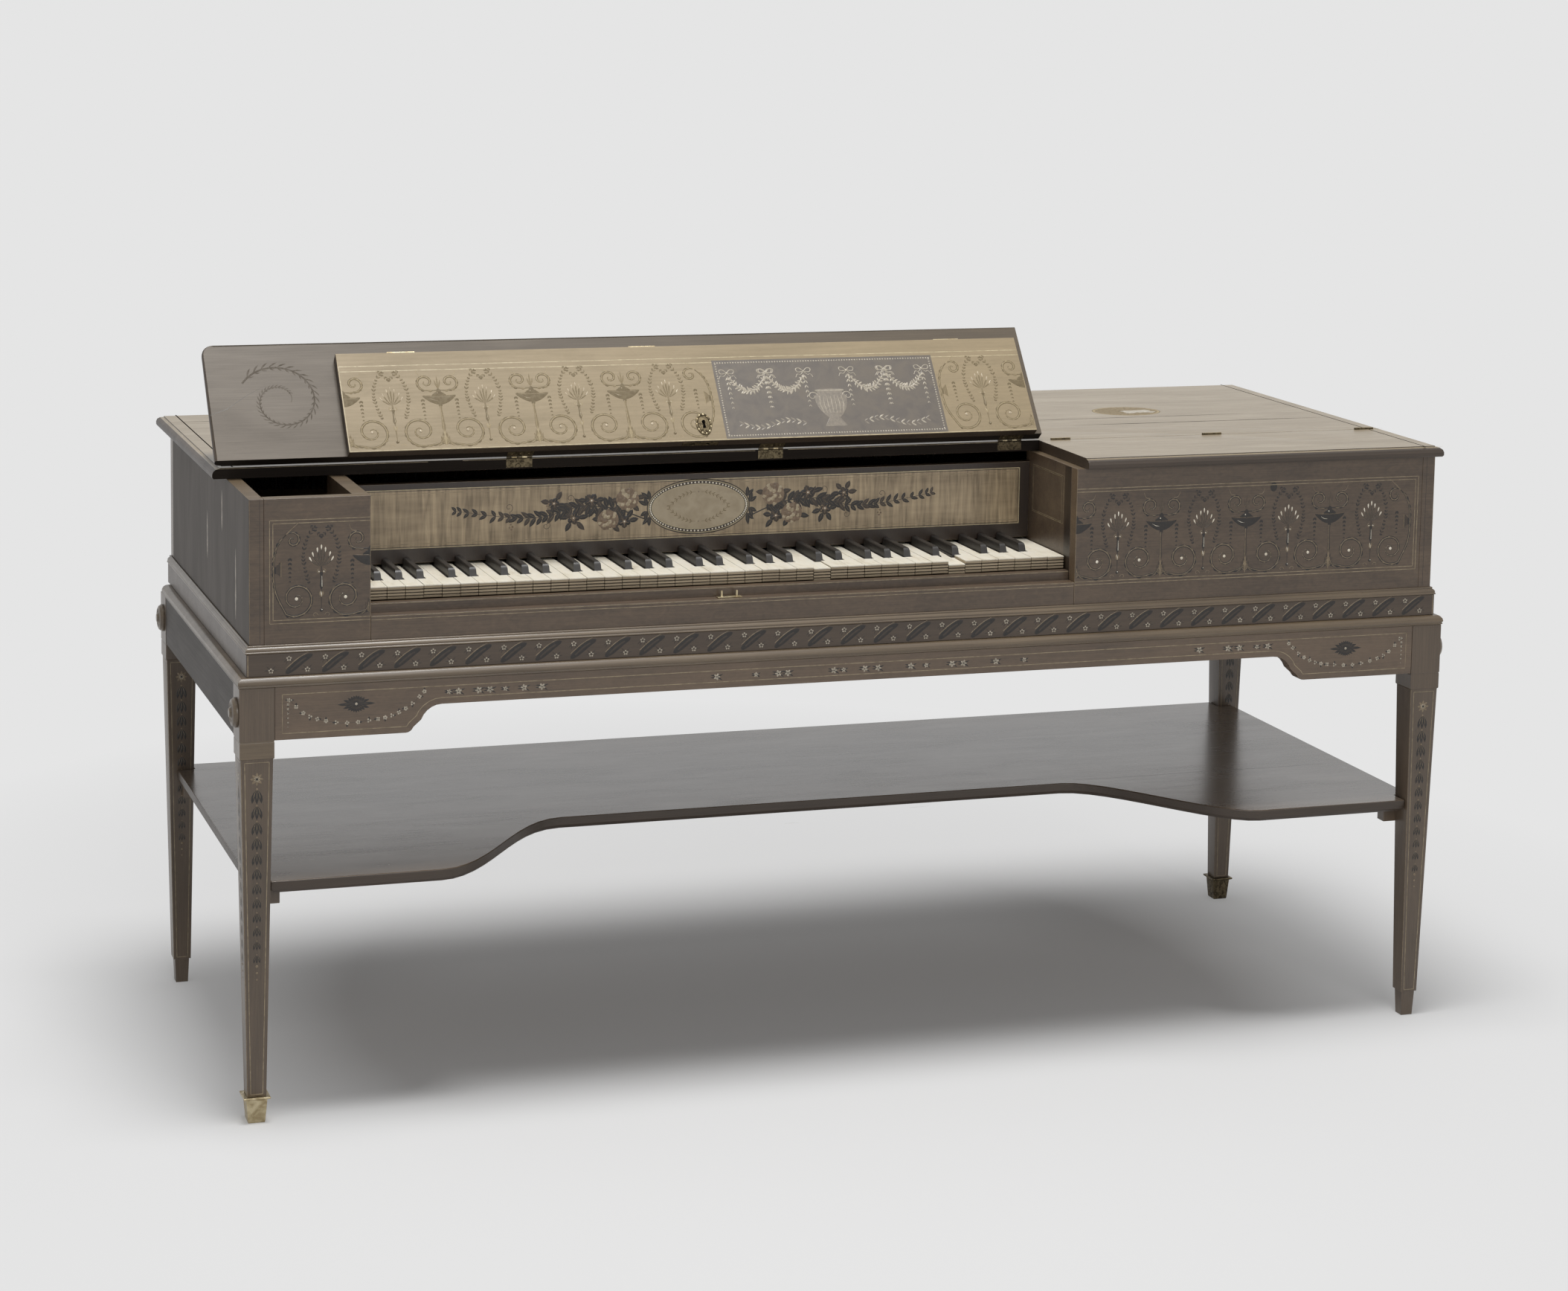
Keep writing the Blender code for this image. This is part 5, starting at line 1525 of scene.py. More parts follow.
@dataclass
class Lid:
    """Main lid, front flap and the leaf over the keys, with their hinges."""

    palette: Palette
    main: tuple[float, float, float, float] = (-18.0, 158.6, 1607.0, 630.0)
    flap: tuple[float, float, float, float] = (1089.6, -11.0, 1607.0, 157.4)
    leaf: tuple[float, float, float, float] = (-16.5, -11.0, 1088.6, 157.4)
    top: float = 790.8
    underside: float = 776.8
    clamp: float = 26.0
    leaf_line: Point2 = (158.0, 791.8)
    leaf_opening: float = -128.5
    leaf_hinges: tuple[float, ...] = (373.5, 711.0, 1047.0)
    hinge_half: float = 17.0
    hinge_heights: Span = (778.6, 789.8)
    screw_height: float = 783.8
    arris_height: float = 789.6
    patera: Point2 = (1320.0, 390.0)

    def opened(self) -> Matrix:
        """Turn that stands the leaf open."""
        return turned(self.leaf_opening, *self.leaf_line)

    def build(self) -> None:
        """Make the three boards and what is on them."""
        p = self.palette

        def flat(normal: Vector, middle: Vector) -> Material:
            """Satinwood on the faces, a rubbed moulding round the edge, and painted shade on the lid's front
            edge under the open leaf.
            """
            if normal.y < -0.9 and middle.y > 100.0:
                return p.joint_edge
            return p.satinwood if abs(normal.z) > 0.9 else p.edge

        def standing(normal: Vector, middle: Vector) -> Material:
            """The same for the leaf, whose faces lean; its inner face and the edge that faces back take
            painted shade.
            """
            turn = self.opened().to_3x3()
            share = normal.dot(turn @ UPRIGHT)
            if abs(share) > 0.9:
                return p.satinwood if share > 0 else p.satinwood_shaded
            return p.joint_edge if normal.dot(turn @ BACK) > 0.5 else p.edge

        dress("lid_main", flat, 0.6)
        dress("lid_flap", flat, 0.6)
        corner = (self.leaf[0], self.leaf[1])
        dress(
            "lid_leaf", standing, 0.4,
            lambda shape: rounded(shape, self.opened(), corner, 15.0),
        )
        self.tops()
        self.leaf_inside()
        self.hinges()

    def tops(self) -> None:
        """Clamp joints, cracks, a pale line along the front arris as painted highlight, and the worn oval on
        the upper side of lid and flap.
        """
        p = self.palette
        for name, body, (left, front, right, back) in (
            ("lid", "lid", self.main), ("flap", "flap", self.flap),
        ):
            relief = Relief(top_face(self.top))
            joints = [right - self.clamp] + ([left + self.clamp] if name == "lid" else [])
            for u in joints:
                relief.band([(u, front + 4.0), (u, back - 4.0)], 1.8, p.shadow, 0.03)
            # Pale line along the front arris: a painted highlight.
            relief.band([(left + 2.0, front + 1.6), (right - 2.0, front + 1.6)], 0.8, p.string_pale, 0.02)
            if name == "lid":
                self.oval(relief)
                for y, start, width in ((276.0, 1190.0, 4.6), (333.0, 1096.0, 3.2), (559.0, -14.0, 3.0)):
                    reach = 380.0 if start > 0 else 260.0
                    crack = [(start + reach * i / 8, y + sin(i * 2.1) * 0.8) for i in range(9)]
                    swelling = [0.2, *[width * (0.6 + 0.4 * (i % 2)) for i in range(7)], 0.4]
                    relief.ridge(crack, swelling, p.shadow, 0.02)
            relief.build(f"{name}_top_inlay", body, "satinwood")

    def oval(self, relief: Relief) -> None:
        """Dark fan patera let into the lid, with its worn pale patch."""
        p = self.palette
        u, v = self.patera
        rims = ((50.0, 41.0, p.faint_dark), (48.6, 39.6, p.faint_light), (46.0, 37.0, p.faint_mid))
        for (wide, tall, material), top in zip(rims, (0.03, 0.05, 0.07)):
            relief.patch(ellipse((u, v), wide, tall, 60), material, top)
        for i in range(24):
            turn = radians(15 * i)
            reach = [
                (u + share * 45.0 * cos(turn), v + share * 36.0 * sin(turn)) for share in (0.3, 0.65, 1.0)
            ]
            relief.ridge(reach, [1.0, 2.4, 3.6], p.faint_dark, 0.1)
        relief.patch(ellipse((u, v), 12.0, 9.0, 30), p.faint_dark, 0.12)
        rng = random.Random(13)
        worn = []
        for a, b in ellipse((u, v), 30, 19, 22):
            share = rng.uniform(0.5, 1.1)
            worn.append((u + 12 + (a - u) * share, v - 6 + (b - v) * share))
        relief.patch(worn, p.stone, 0.13)

    def leaf_inside(self) -> None:
        """Faint leafy scroll and a crack on the leaf's inner face, which shows when it stands open."""
        p = self.palette
        face = Face(at(0.0, 0.0, self.underside), ALONG, BACK * -1).moved(self.opened())
        relief = Relief(face)
        path = spiral((76.0, -74.0), 54.0, 12.0, 150.0, -520.0, 44)
        relief.ridge(path, [3.4 - 0.06 * i for i in range(45)], p.leaf_faded_shaded, 0.04)
        for i in range(1, 40):
            size = 1.0 - i / 60
            relief.petal(path[i], heading(path, i) + 42, 15.0 * size, 3.0 * size, p.leaf_faded_shaded, -30.0, 0.05)
            relief.petal(path[i], heading(path, i) - 46, 9.0 * size, 2.4 * size, p.leaf_faded_shaded, 30.0, 0.05)
        crack = [(-16.0, -92.0), (6.0, -84.0), (34.0, -64.0), (60.0, -50.0)]
        relief.ridge(crack, [0.5, 0.6, 0.4, 0.1], p.string_dark, 0.03)
        relief.build("leaf_inner_scroll", "leaf", "satinwood")

    def hinges(self) -> None:
        """Painted highlight along the arris of the lid's joint, plates, screws and knuckles of the leaf's
        hinges, and the flap's hinges with painted highlight on top and painted shade at the sides.
        """
        p = self.palette
        fixed = Relief(front_face(self.main[1]))
        arris = Relief(front_face(self.main[1]))
        # Pale line along the lid's front arris: a painted highlight.
        for start, end in ((-15.0, 255.0), (300.0, 690.0), (735.0, 1030.0)):
            arris.band([(start, self.arris_height), (end, self.arris_height)], 0.5, p.string, 0.04)
        arris.build("lid_joint_arris_painted_highlight", "lid", "satinwood")
        moving = Relief(Face(at(0.0, self.leaf[3], 0.0), ALONG * -1, UPRIGHT).moved(self.opened()))
        knuckles = Heap()
        half = self.hinge_half
        low, high = self.hinge_heights
        for u in self.leaf_hinges:
            for relief, middle, top in ((fixed, u, 0.3), (moving, -u, 0.2)):
                relief.plate((middle - half, low), (middle + half, high), p.brass_dark, top)
                for step in SCREW_STEPS:
                    relief.screw(middle + step, self.screw_height, p.brass, p.shadow)
            for i in range(5):
                start = u - half + half * 0.4 * i
                ends = [at(x, *self.leaf_line) for x in (start + 0.2, start + half * 0.4 - 0.2)]
                knuckles.tube(ends, [0.0011, 0.0011], p.brass if i % 2 else p.brass_dark, 8)
        fixed.build("leaf_hinge_fixed_plates", "lid", "brass")
        moving.build("leaf_hinge_moving_plates", "leaf", "brass")
        knuckles.build("leaf_hinge_knuckles", "lid", "brass", (), 0.0, 40.0)
        for node in ("flap_hinge_1", "flap_hinge_2", "flap_hinge_3"):
            # Bright brass on the flap hinges' tops, tarnished brass on their sides: painted highlight and
            # painted shade.
            dress(node, lambda n, m: p.brass if n.z > 0.8 else p.brass_dark, 0.0)


@dataclass
class LockBoard:
    """Board that hangs from the leaf: frieze, picture field, strings, lock and escutcheon."""

    palette: Palette
    lid: Lid
    left: float = 149.6
    right: float = 1077.1
    front: float = 2.0
    back: float = 14.5
    bottom: float = 631.7
    top: float = 776.2
    lines: Span = (749.0, 756.6)
    picture: tuple[float, float, float, float] = (644.0, 633.6, 951.0, 752.0)
    bead_pitch: float = 3.6
    key_hole: Point2 = (616.6, 656.2)
    hinge_middles: tuple[float, ...] = (237.0, 558.0, 984.0)
    plate_heights: Span = (764.4, 775.6)
    mate_reach: Span = (-14.2, -6.0)

    def hung(self) -> Matrix:
        """Turn that carries the board from its closed place to where it hangs from the open leaf."""
        return self.lid.opened() @ turned(90.0, self.back, self.top)

    def build(self) -> None:
        """Make the board and what is on it."""
        p = self.palette
        turn = self.hung().to_3x3()

        def boards(normal: Vector, middle: Vector) -> Material:
            """Pale satinwood outside and in, dark banded edges."""
            share = normal.dot(turn @ BACK)
            if abs(share) > 0.9:
                return p.satinwood_pale
            return p.edge if normal.dot(turn @ UPRIGHT) > 0.5 else p.banding

        dress("lock_board", boards, 0.5)
        face = front_face(self.front, 630.0).moved(self.hung())
        inks = Inks(p.faint_dark, p.faint_mid, p.faint_light, p.rose_light)
        frieze = Frieze(face, inks)
        urns = [(151.5, (1,)), (274.7, (-1, 1)), (396.0, (-1, 1)), (517.5, (-1, 1)), (1075.5, (-1,))]
        frieze.row([212.7, 332.7, 455.0, 576.0, 1012.7], urns, [(576.0, 1), (1012.7, -1)])
        frieze.build("lock_board_frieze", "lock_board", "satinwood")
        self.strings()
        self.picture_field()
        self.fittings()

    def strings(self) -> None:
        """Double lines under the plain top band, and a light line round the lower edges."""
        p = self.palette
        relief = Relief(front_face(self.front).moved(self.hung()))
        for height in (*self.lines, self.bottom + 1.2):
            relief.band([(self.left + 0.5, height), (self.right - 0.5, height)], 1.0, p.string_pale)
        side_line = [(self.left + 1.0, self.bottom + 1.0), (self.left + 1.0, self.lines[1])]
        relief.band(side_line, 1.0, p.string_pale)
        relief.build("lock_board_strings", "lock_board", "satinwood")

    def picture_field(self) -> None:
        """Grey painted field with a beaded border and an urn, swags and ribbons in stone colours."""
        p = self.palette
        relief = Relief(front_face(self.front).moved(self.hung()))
        left, bottom, right, top = self.picture
        relief.plate((left, bottom), (right, top), p.picture, 0.09)
        relief.box((left + 0.8, bottom + 0.8), (right - 0.8, top - 0.8), 1.4, p.string_pale)
        wide, tall = right - left - 8, top - bottom - 12
        across, rows = int(wide / self.bead_pitch), int(tall / self.bead_pitch)
        beads = [
            (left + 4 + wide * i / across, v) for i in range(across + 1) for v in (bottom + 4.2, top - 4.2)
        ]
        beads += [
            (u, bottom + 6 + tall * i / rows) for i in range(rows + 1) for u in (left + 4.2, right - 4.2)
        ]
        for bead in beads:
            relief.pearl(bead, 1.1, p.stone, 0.4)
        self.urn_and_swags(relief)
        relief.build("lock_board_picture", "lock_board", "satinwood")

    def urn_and_swags(self, relief: Relief) -> None:
        """Generic ornament of the picture field: a fluted urn between hanging swags."""
        p = self.palette
        left, bottom, right, top = self.picture
        mid = (left + right) / 2
        stops = [
            (0, 0), (14, 0), (13, 3), (5, 6), (4, 10), (12, 17), (20, 30), (22, 44), (17, 52), (19, 56),
            (0, 57),
        ]
        half = curve(stops, 3)
        base = bottom + 14
        outline = mirrored(half, mid, 1, base) + mirrored(half[-2:0:-1], mid, -1, base)
        relief.patch(outline, p.stone_shade, 0.16, 0.3)
        for i in range(-3, 4):
            flute = [(mid + i * 4.4, base + 20), (mid + i * 5.4, base + 33), (mid + i * 5.0, base + 46)]
            relief.ridge(flute, [0.6, 1.7, 0.8], p.stone, 0.6)
        relief.ridge([(mid - 20, base + 54), (mid + 20, base + 54)], [2.2, 2.2], p.stone, 0.6)
        rng = random.Random(5)
        for side in (-1, 1):
            handle = spiral((mid + side * 24, base + 46), 7, 1.5, 90 + side * 80, -side * 400, 16)
            relief.ridge(handle, [1.8 - 0.06 * i for i in range(17)], p.stone, 0.3)
            for start, end in ((30.0, 82.0), (84.0, 136.0)):
                shares = [i / 16 for i in range(17)]
                drape = [(start + (end - start) * t, -24 - 96 * t * (1 - t)) for t in shares]
                way = mirrored(drape, mid, side, top)
                swell = [1.4 + 4.4 * sin(pi * i / 16) for i in range(17)]
                relief.ridge(way, swell, p.stone_shade, 0.2)
                for i in range(1, 16):
                    for lean in (-60, 60, 180):
                        lift = rng.uniform(-16, 16)
                        toward = heading(way, i) + lean + lift
                        relief.petal(way[i], toward, 3.4 + swell[i] * 0.7, 3.0, p.stone, 0.0, 0.5)
                for u in (start, end):
                    self.bow(relief, (mid + side * u, top - 20))
                    for i in range(7):
                        root = (mid + side * u, top - 26 - i * 7.5)
                        for lean in (-28, 28):
                            relief.petal(root, -90 + lean, 6.6 - i * 0.5, 2.6 - i * 0.2, p.stone, 0.0, 0.4)
            for i in range(13):
                root = (mid + side * (40 + i * 7.2), base + 6 + 5 * sin(i * 0.55))
                material = p.stone if i % 2 else p.stone_shade
                for lean in (-34, 34):
                    relief.petal(root, 90 - side * 90 + lean, 8.0, 3.0, material, 0.0, 0.3)

    def bow(self, relief: Relief, middle: Point2) -> None:
        """Ribbon bow with two loops and fluttering ends."""
        p = self.palette
        loop = curve([(0, 0), (5, 5), (10, 4), (8, -1), (0, 0)], 3)
        tail = curve([(0, 0), (5, -5), (9, -4), (12, -9)], 3)
        for side in (-1, 1):
            for path, width, rise in ((loop, 1.5, 0.5), (tail, 1.2, 0.4)):
                relief.ridge(mirrored(path, middle[0], side, middle[1]), [width] * len(path), p.stone, rise)
        relief.pearl(middle, 1.8, p.stone, 0.8)

    def fittings(self) -> None:
        """Escutcheon with its beaded rim, painted highlights on every other bead and painted shadow in its
        key hole, the lock, and the three small hinges.
        """
        p = self.palette
        dress("lock", p.brass_dark, 0.3)
        dress("escutcheon", p.brass_dark, 0.2)
        relief = Relief(front_face(self.front).moved(self.hung()))
        u, v = self.key_hole
        relief.patch(ellipse((u, v), 8.4, 13.0, 32), p.brass_dark, 1.35, 0.25)
        rings = []
        for a, b in ellipse((u, v), 8.0, 12.6, 36):
            way = Vector((a - u, b - v)).normalized()
            section = [(-0.9, 1.2), (0.0, 2.2), (0.9, 1.2)]
            rings.append([relief.face.at(a + way.x * s, b + way.y * s, h) for s, h in section])
        relief.loft(rings, p.brass_dark, True)
        # Every other bead in bright brass: painted highlights.
        for i, (a, b) in enumerate(ellipse((u, v), 9.3, 14.2, 22)):
            relief.patch(ellipse((a, b), 1.5, 1.5, 10), p.brass if i % 2 else p.brass_dark, 1.3, 0.8)
        # Key hole and slot in near black: painted shadow.
        relief.patch(ellipse((u, v + 3.0), 2.5, 2.9, 16), p.shadow, 1.75)
        slot = mirrored([(-1.3, 1.4), (-2.2, -6.4), (2.2, -6.4), (1.3, 1.4)], u, 1, v)
        relief.patch(slot, p.shadow, 1.75)
        for side in (-1, 1):
            rib = mirrored([(4.0, -6.0), (5.4, 0.0), (4.0, 6.4)], u, side, v)
            relief.ridge(rib, [0.7, 1.3, 0.7], p.brass, 2.0)
        relief.build("escutcheon_rim", "lock_board", "brass")
        self.hinges()

    def hinges(self) -> None:
        """Small plates at the joint between board and leaf."""
        p = self.palette
        plates = Relief(Face(at(0.0, self.back, 0.0), ALONG * -1, UPRIGHT).moved(self.hung()))
        mates = Relief(Face(at(0.0, 0.0, self.lid.underside), ALONG, BACK * -1).moved(self.lid.opened()))
        low, high = self.plate_heights
        near, far = self.mate_reach
        for u in self.hinge_middles:
            plates.plate((-u - 15, low), (-u + 15, high), p.brass_dark, 0.12)
            mates.plate((u - 18, near), (u + 18, far), p.brass, 0.12)
            for step in SCREW_STEPS:
                mates.screw(u + step, -10.2, p.brass_dark, p.shadow)
        plates.build("lock_board_hinge_plates", "lock_board", "brass")
        mates.build("lock_board_hinge_mates", "leaf", "brass")


@dataclass
class Keyboard:
    """Sixty-eight keys: lime levers with three-grooved fronts, ivory plates and black sharps."""

    palette: Palette
    left: float = 152.8
    pitch: float = 23.1
    slot: float = 13.475
    gap: float = 0.6
    front: float = 33.5
    head: float = 40.0
    back: float = 403.5
    bottom: float = 640.4
    top: float = 656.7
    ivory: float = 1.5
    balance: float = 205.5
    sunk: float = 1.666
    groove_heights: tuple[float, ...] = (643.9, 647.7, 651.5)
    ivory_end: float = 178.0
    cap_end: float = 158.0
    sharp_places: tuple[int, ...] = (1, 3, 5, 8, 10)
    count: int = 68
    single: tuple[str, ...] = (
        "key_c", "key_c_sharp", "key_d", "key_d_sharp", "key_e", "key_f", "key_f_sharp", "key_g",
        "key_g_sharp", "key_a", "key_a_sharp", "key_b", "key_top_c",
    )

    def build(self) -> None:
        """Make the bank and the thirteen keys beside it."""
        bank = Heap()
        rng = random.Random(3)
        first = self.count - len(self.single)
        natural = 0
        for i in range(self.count):
            sharp = i % 12 in self.sharp_places
            node = self.single[i - first] if i >= first else ""
            heap = Heap() if node else bank
            start = len(heap.points)
            if sharp:
                self.sharp(heap, i)
            else:
                self.natural(heap, i, natural)
                natural += 1
            low_one = natural == 26 and not sharp
            sag = self.sunk if node == "key_d" else rng.uniform(0.0, 0.13) + (0.6 if low_one else 0.0)
            place = turned(sag, self.balance, self.bottom)
            heap.points[start:] = [place @ point for point in heap.points[start:]]
            if node:
                heap.build(f"{node}_finished", node, "ebony" if sharp else "ivory", (node,), 0.22, 28.0)
        bank.build("key_bank_finished", "key_bank", "ivory", ("key_bank",), 0.22, 28.0)

    def slot_of(self, i: int) -> Span:
        """Limits of a key's slot, counted from the left, in millimetres."""
        start = self.left + i // 12 * self.slot * 12 + i % 12 * self.slot
        return start, start + self.slot

    def natural(self, heap: Heap, i: int, number: int) -> None:
        """Add a natural key.

        Args:
            heap: the mesh that it goes into.
            i: its number among all keys.
            number: its number among the naturals.
        """
        p = self.palette
        half = self.gap / 2
        left = self.left + number * self.pitch + half
        right = left + self.pitch - self.gap
        before = i > 0 and (i - 1) % 12 in self.sharp_places
        after = i + 1 < self.count and (i + 1) % 12 in self.sharp_places
        low, high = self.slot_of(i)
        tail = (low + half if before else left, high - half if after else right)
        shoulder = self.front + self.head
        wood = self.top - self.ivory
        heap.block(at(left, 36.0, self.bottom), at(right, shoulder, wood), p.lime)
        heap.block(at(tail[0], shoulder, self.bottom), at(tail[1], self.back, wood), p.lime)
        profile = [(36.0, self.bottom + 0.2), (34.0, self.bottom + 0.2)]
        for z in self.groove_heights:
            profile += [(33.6, z - 0.8), (35.7, z - 0.7), (35.7, z + 0.7), (33.6, z + 0.8)]
        profile += [(33.6, wood), (36.0, wood)]
        heap.loft([[at(x, y, z) for y, z in profile] for x in (left + 0.05, right - 0.05)], p.lime)
        # Dark strips in the grooves' depths: painted shade.
        for z in self.groove_heights:
            heap.block(at(left + 0.1, 34.6, z - 0.25), at(right - 0.1, 35.9, z + 0.25), p.leaf_mid)
        heap.block(at(left, 33.1, wood), at(right, shoulder, self.top), p.ivory)
        heap.block(at(tail[0], shoulder + 0.15, wood), at(tail[1], self.ivory_end, self.top), p.ivory)

    def sharp(self, heap: Heap, i: int) -> None:
        """Add a sharp: its lever and its bevelled black cap."""
        p = self.palette
        low, high = self.slot_of(i)
        front = self.front + self.head + self.gap
        low, high = low + self.gap / 2, high - self.gap / 2
        heap.block(at(low, front, self.bottom), at(high, self.back, self.top - 0.6), p.ebony)
        middle = (low + high) / 2
        rings = []
        for z, inset, lean in ((655.7, 0.0, 0.0), (664.2, 0.4, 3.0), (666.6, 0.9, 5.2), (667.7, 1.9, 7.6)):
            half = 4.8 - inset
            plan = rectangle((middle - half, front + 1.2 + lean), (middle + half, self.cap_end))
            rings.append([at(x, y, z) for x, y in plan])
        heap.loft(rings, p.ebony)


@dataclass
class Stand:
    """Stand: legs with strings and husk chains, painted apron, shelf, bolt covers and ferrules."""

    palette: Palette
    leg_middles: tuple[tuple[str, float, float], ...] = (
        ("front_left", 7.5, 11.5), ("front_right", 1592.5, 11.5), ("rear_left", 7.5, 602.5),
        ("rear_right", 1592.5, 602.5),
    )
    leg_foot: float = 34.0
    leg_length: float = 424.8
    leg_half: Span = (11.8, 19.8)
    apron_front: float = -9.5
    apron_top: float = 547.2
    string_inset: float = 8.0
    faded_collar: Span = (459.5, 481.5)
    string_ends: Span = (38.3, 1561.7)
    string_top: float = 538.0
    shelf_top: float = 304.0
    flower_height: float = 530.3
    flowers: tuple[float, ...] = (
        244.4, 256.4, 281.6, 296.1, 315.4, 339.0, 362.0, 588.8, 640.7, 670.4, 683.2, 745.1, 758.1, 786.7,
        804.9, 849.5, 870.6, 906.1, 921.9, 966.8, 1006.4, 1255.9, 1297.7, 1314.0, 1339.8, 1355.6,
    )

    def build(self) -> None:
        """Make every piece of the stand."""
        p = self.palette
        for name, x, y in self.leg_middles:
            faded = name == "front_left"
            low, high = self.faded_collar
            dress(
                f"leg_{name}",
                lambda n, m: p.moulding if faded and low < m.z < high else p.leg, 0.5,
            )
            dress(f"rosette_{name}", p.moulding, 0.0)
            foot = at(x, y, self.leg_foot)
            outward = BACK * (-1 if "left" in name else 1)
            self.leg_face(name, "front", Face(foot, ALONG, UPRIGHT), True)
            self.leg_face(name, "outer", Face(foot, outward, UPRIGHT), faded)
        dress("front_apron", p.stand)
        # The side rails' dark wood is painted shade.
        for node in ("rail_left", "rail_right"):
            dress(node, p.side)
        dress("rail_rear", p.stand)
        dress("stand_moulding", p.moulding, 0.5)
        dress(
            "shelf",
            lambda n, m: p.shelf if abs(n.z) > 0.9 else p.edge, 1.6, self.undercut,
        )
        dress("ferrule_front_left", p.brass, 0.3)
        dress("ferrule_rear_right", p.brass_dark, 0.3)
        self.apron()
        self.shelf_details()

    def undercut(self, shape: bmesh.types.BMesh) -> None:
        """Bevel the shelf's lower edge, so that it looks thin from above."""
        shape.normal_update()
        under = [face for face in shape.faces if face.normal.z < -0.9]
        rim = {vertex.co.to_tuple(5) for face in under for vertex in face.verts}
        bmesh.ops.inset_region(shape, faces=under, thickness=6.0 * MM, use_even_offset=True)
        for vertex in shape.verts:
            if vertex.co.to_tuple(5) in rim:
                vertex.co.z += 5.0 * MM

    def leg_face(self, name: str, side: str, face: Face, husks: bool) -> None:
        """String one tapered face of a leg, and paint its chain of husks.

        Args:
            name: the leg's name.
            side: which of its faces.
            face: upright face through the leg's middle line; the taper is worked out here.
            husks: whether it carries the painted chain.
        """
        p = self.palette
        low, high = self.leg_half
        out = face.across.cross(face.up)
        up = (face.up * self.leg_length + out * (high - low)).normalized()
        relief = Relief(Face(face.corner + out * low * MM, face.across, up))
        ends = [(3.0, low - 4.4), (self.leg_length - 3.5, high - 4.8)]
        for sign in (-1, 1):
            relief.band([(sign * half, v) for v, half in ends], 0.9, p.string)
        for v, half in ends:
            relief.band([(-half, v), (half, v)], 0.9, p.string)
        if husks:
            inks = Inks(p.leaf_dark, p.leaf_mid, p.leaf_light, p.pearl)
            v = self.leg_length - 24.0
            relief.blossom((0.0, v), 8.4, 8, inks)
            relief.blossom((0.0, v), 4.2, 8, Inks(p.leaf_dark, p.leaf_mid, p.stone, p.pearl), 112.5)
            v -= 14.0
            for i in range(12):
                size = 1.0 - 0.04 * i
                for lean in (-30, 0, 30):
                    root = (lean * 0.03, v)
                    bend = -lean * 0.9
                    relief.petal(root, -90 + lean, 17.5 * size, 5.4 * size, p.leaf_dark, bend, 0.14, 0.55)
                    relief.petal(root, -90 + lean, 12.0 * size, 1.2 * size, p.leaf_light, bend, 0.24, 0.6)
                relief.pearl((0.0, v + 1.6), 1.3 * size, p.leaf_light)
                v -= 20.4 - 0.3 * i
            for size in (1.7, 1.4, 1.1):
                relief.pearl((0.0, v + 4.0), size, p.leaf_light)
                v -= 8.5
            rng = random.Random(len(name))
            edge = [(-(low + (high - low) * i / 16) + 0.5, self.leg_length * i / 16) for i in range(17)]
            relief.ridge(edge, [rng.uniform(0.2, 1.1) for _ in range(17)], p.leaf_light, 0.03)
        relief.build(f"leg_{name}_{side}_inlay", "case_and_stand", "stand_wood")

    def lower_edge(self) -> Path:
        """Lower outline of the apron's face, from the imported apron, in case millimetres."""
        places = {}
        for vertex in frame["nodes"]["front_apron"].data.vertices:
            place = from_corner(vertex.co)
            if place.y < self.apron_front + 0.5 and place.z < self.apron_top - 1:
                places[round(place.x, 1)] = place.z
        return sorted(places.items())

    def apron(self) -> None:
        """String and paint the apron."""
        p = self.palette
        relief = Relief(front_face(self.apron_front))
        edge = self.lower_edge()
        inset = self.string_inset
        line = []
        for i, place in enumerate(edge):
            line.append(polar(place, inset, heading(edge, i) + 90))
        left, right, top = *self.string_ends, self.string_top
        line = [q for q in line if left < q[0] < right]
        line = [(left, edge[0][1] + inset), *line, (right, edge[-1][1] + inset)]
        outline = [(left, top), *line, (right, top)]
        relief.band(outline, 1.0, p.string)
        relief.band([(left, top), (right, top)], 1.0, p.string)
        inks = Inks(p.leaf_dark, p.leaf_mid, p.stone, p.pearl)
        for side in (1, -1):
            self.swag(relief, inks, side)
        for i, u in enumerate(self.flowers):
            radius = 4.6 if i % 4 else 3.4
            for lean in (-160, 150, 20, -30):
                relief.petal((u, self.flower_height), lean, radius * 1.9, 2.2, p.leaf_dark, lean * 0.2, 0.08)
            relief.blossom((u, self.flower_height), radius, 5, inks, 20.0 * i)
        relief.build("apron_inlay", "case_and_stand", "stand_wood")

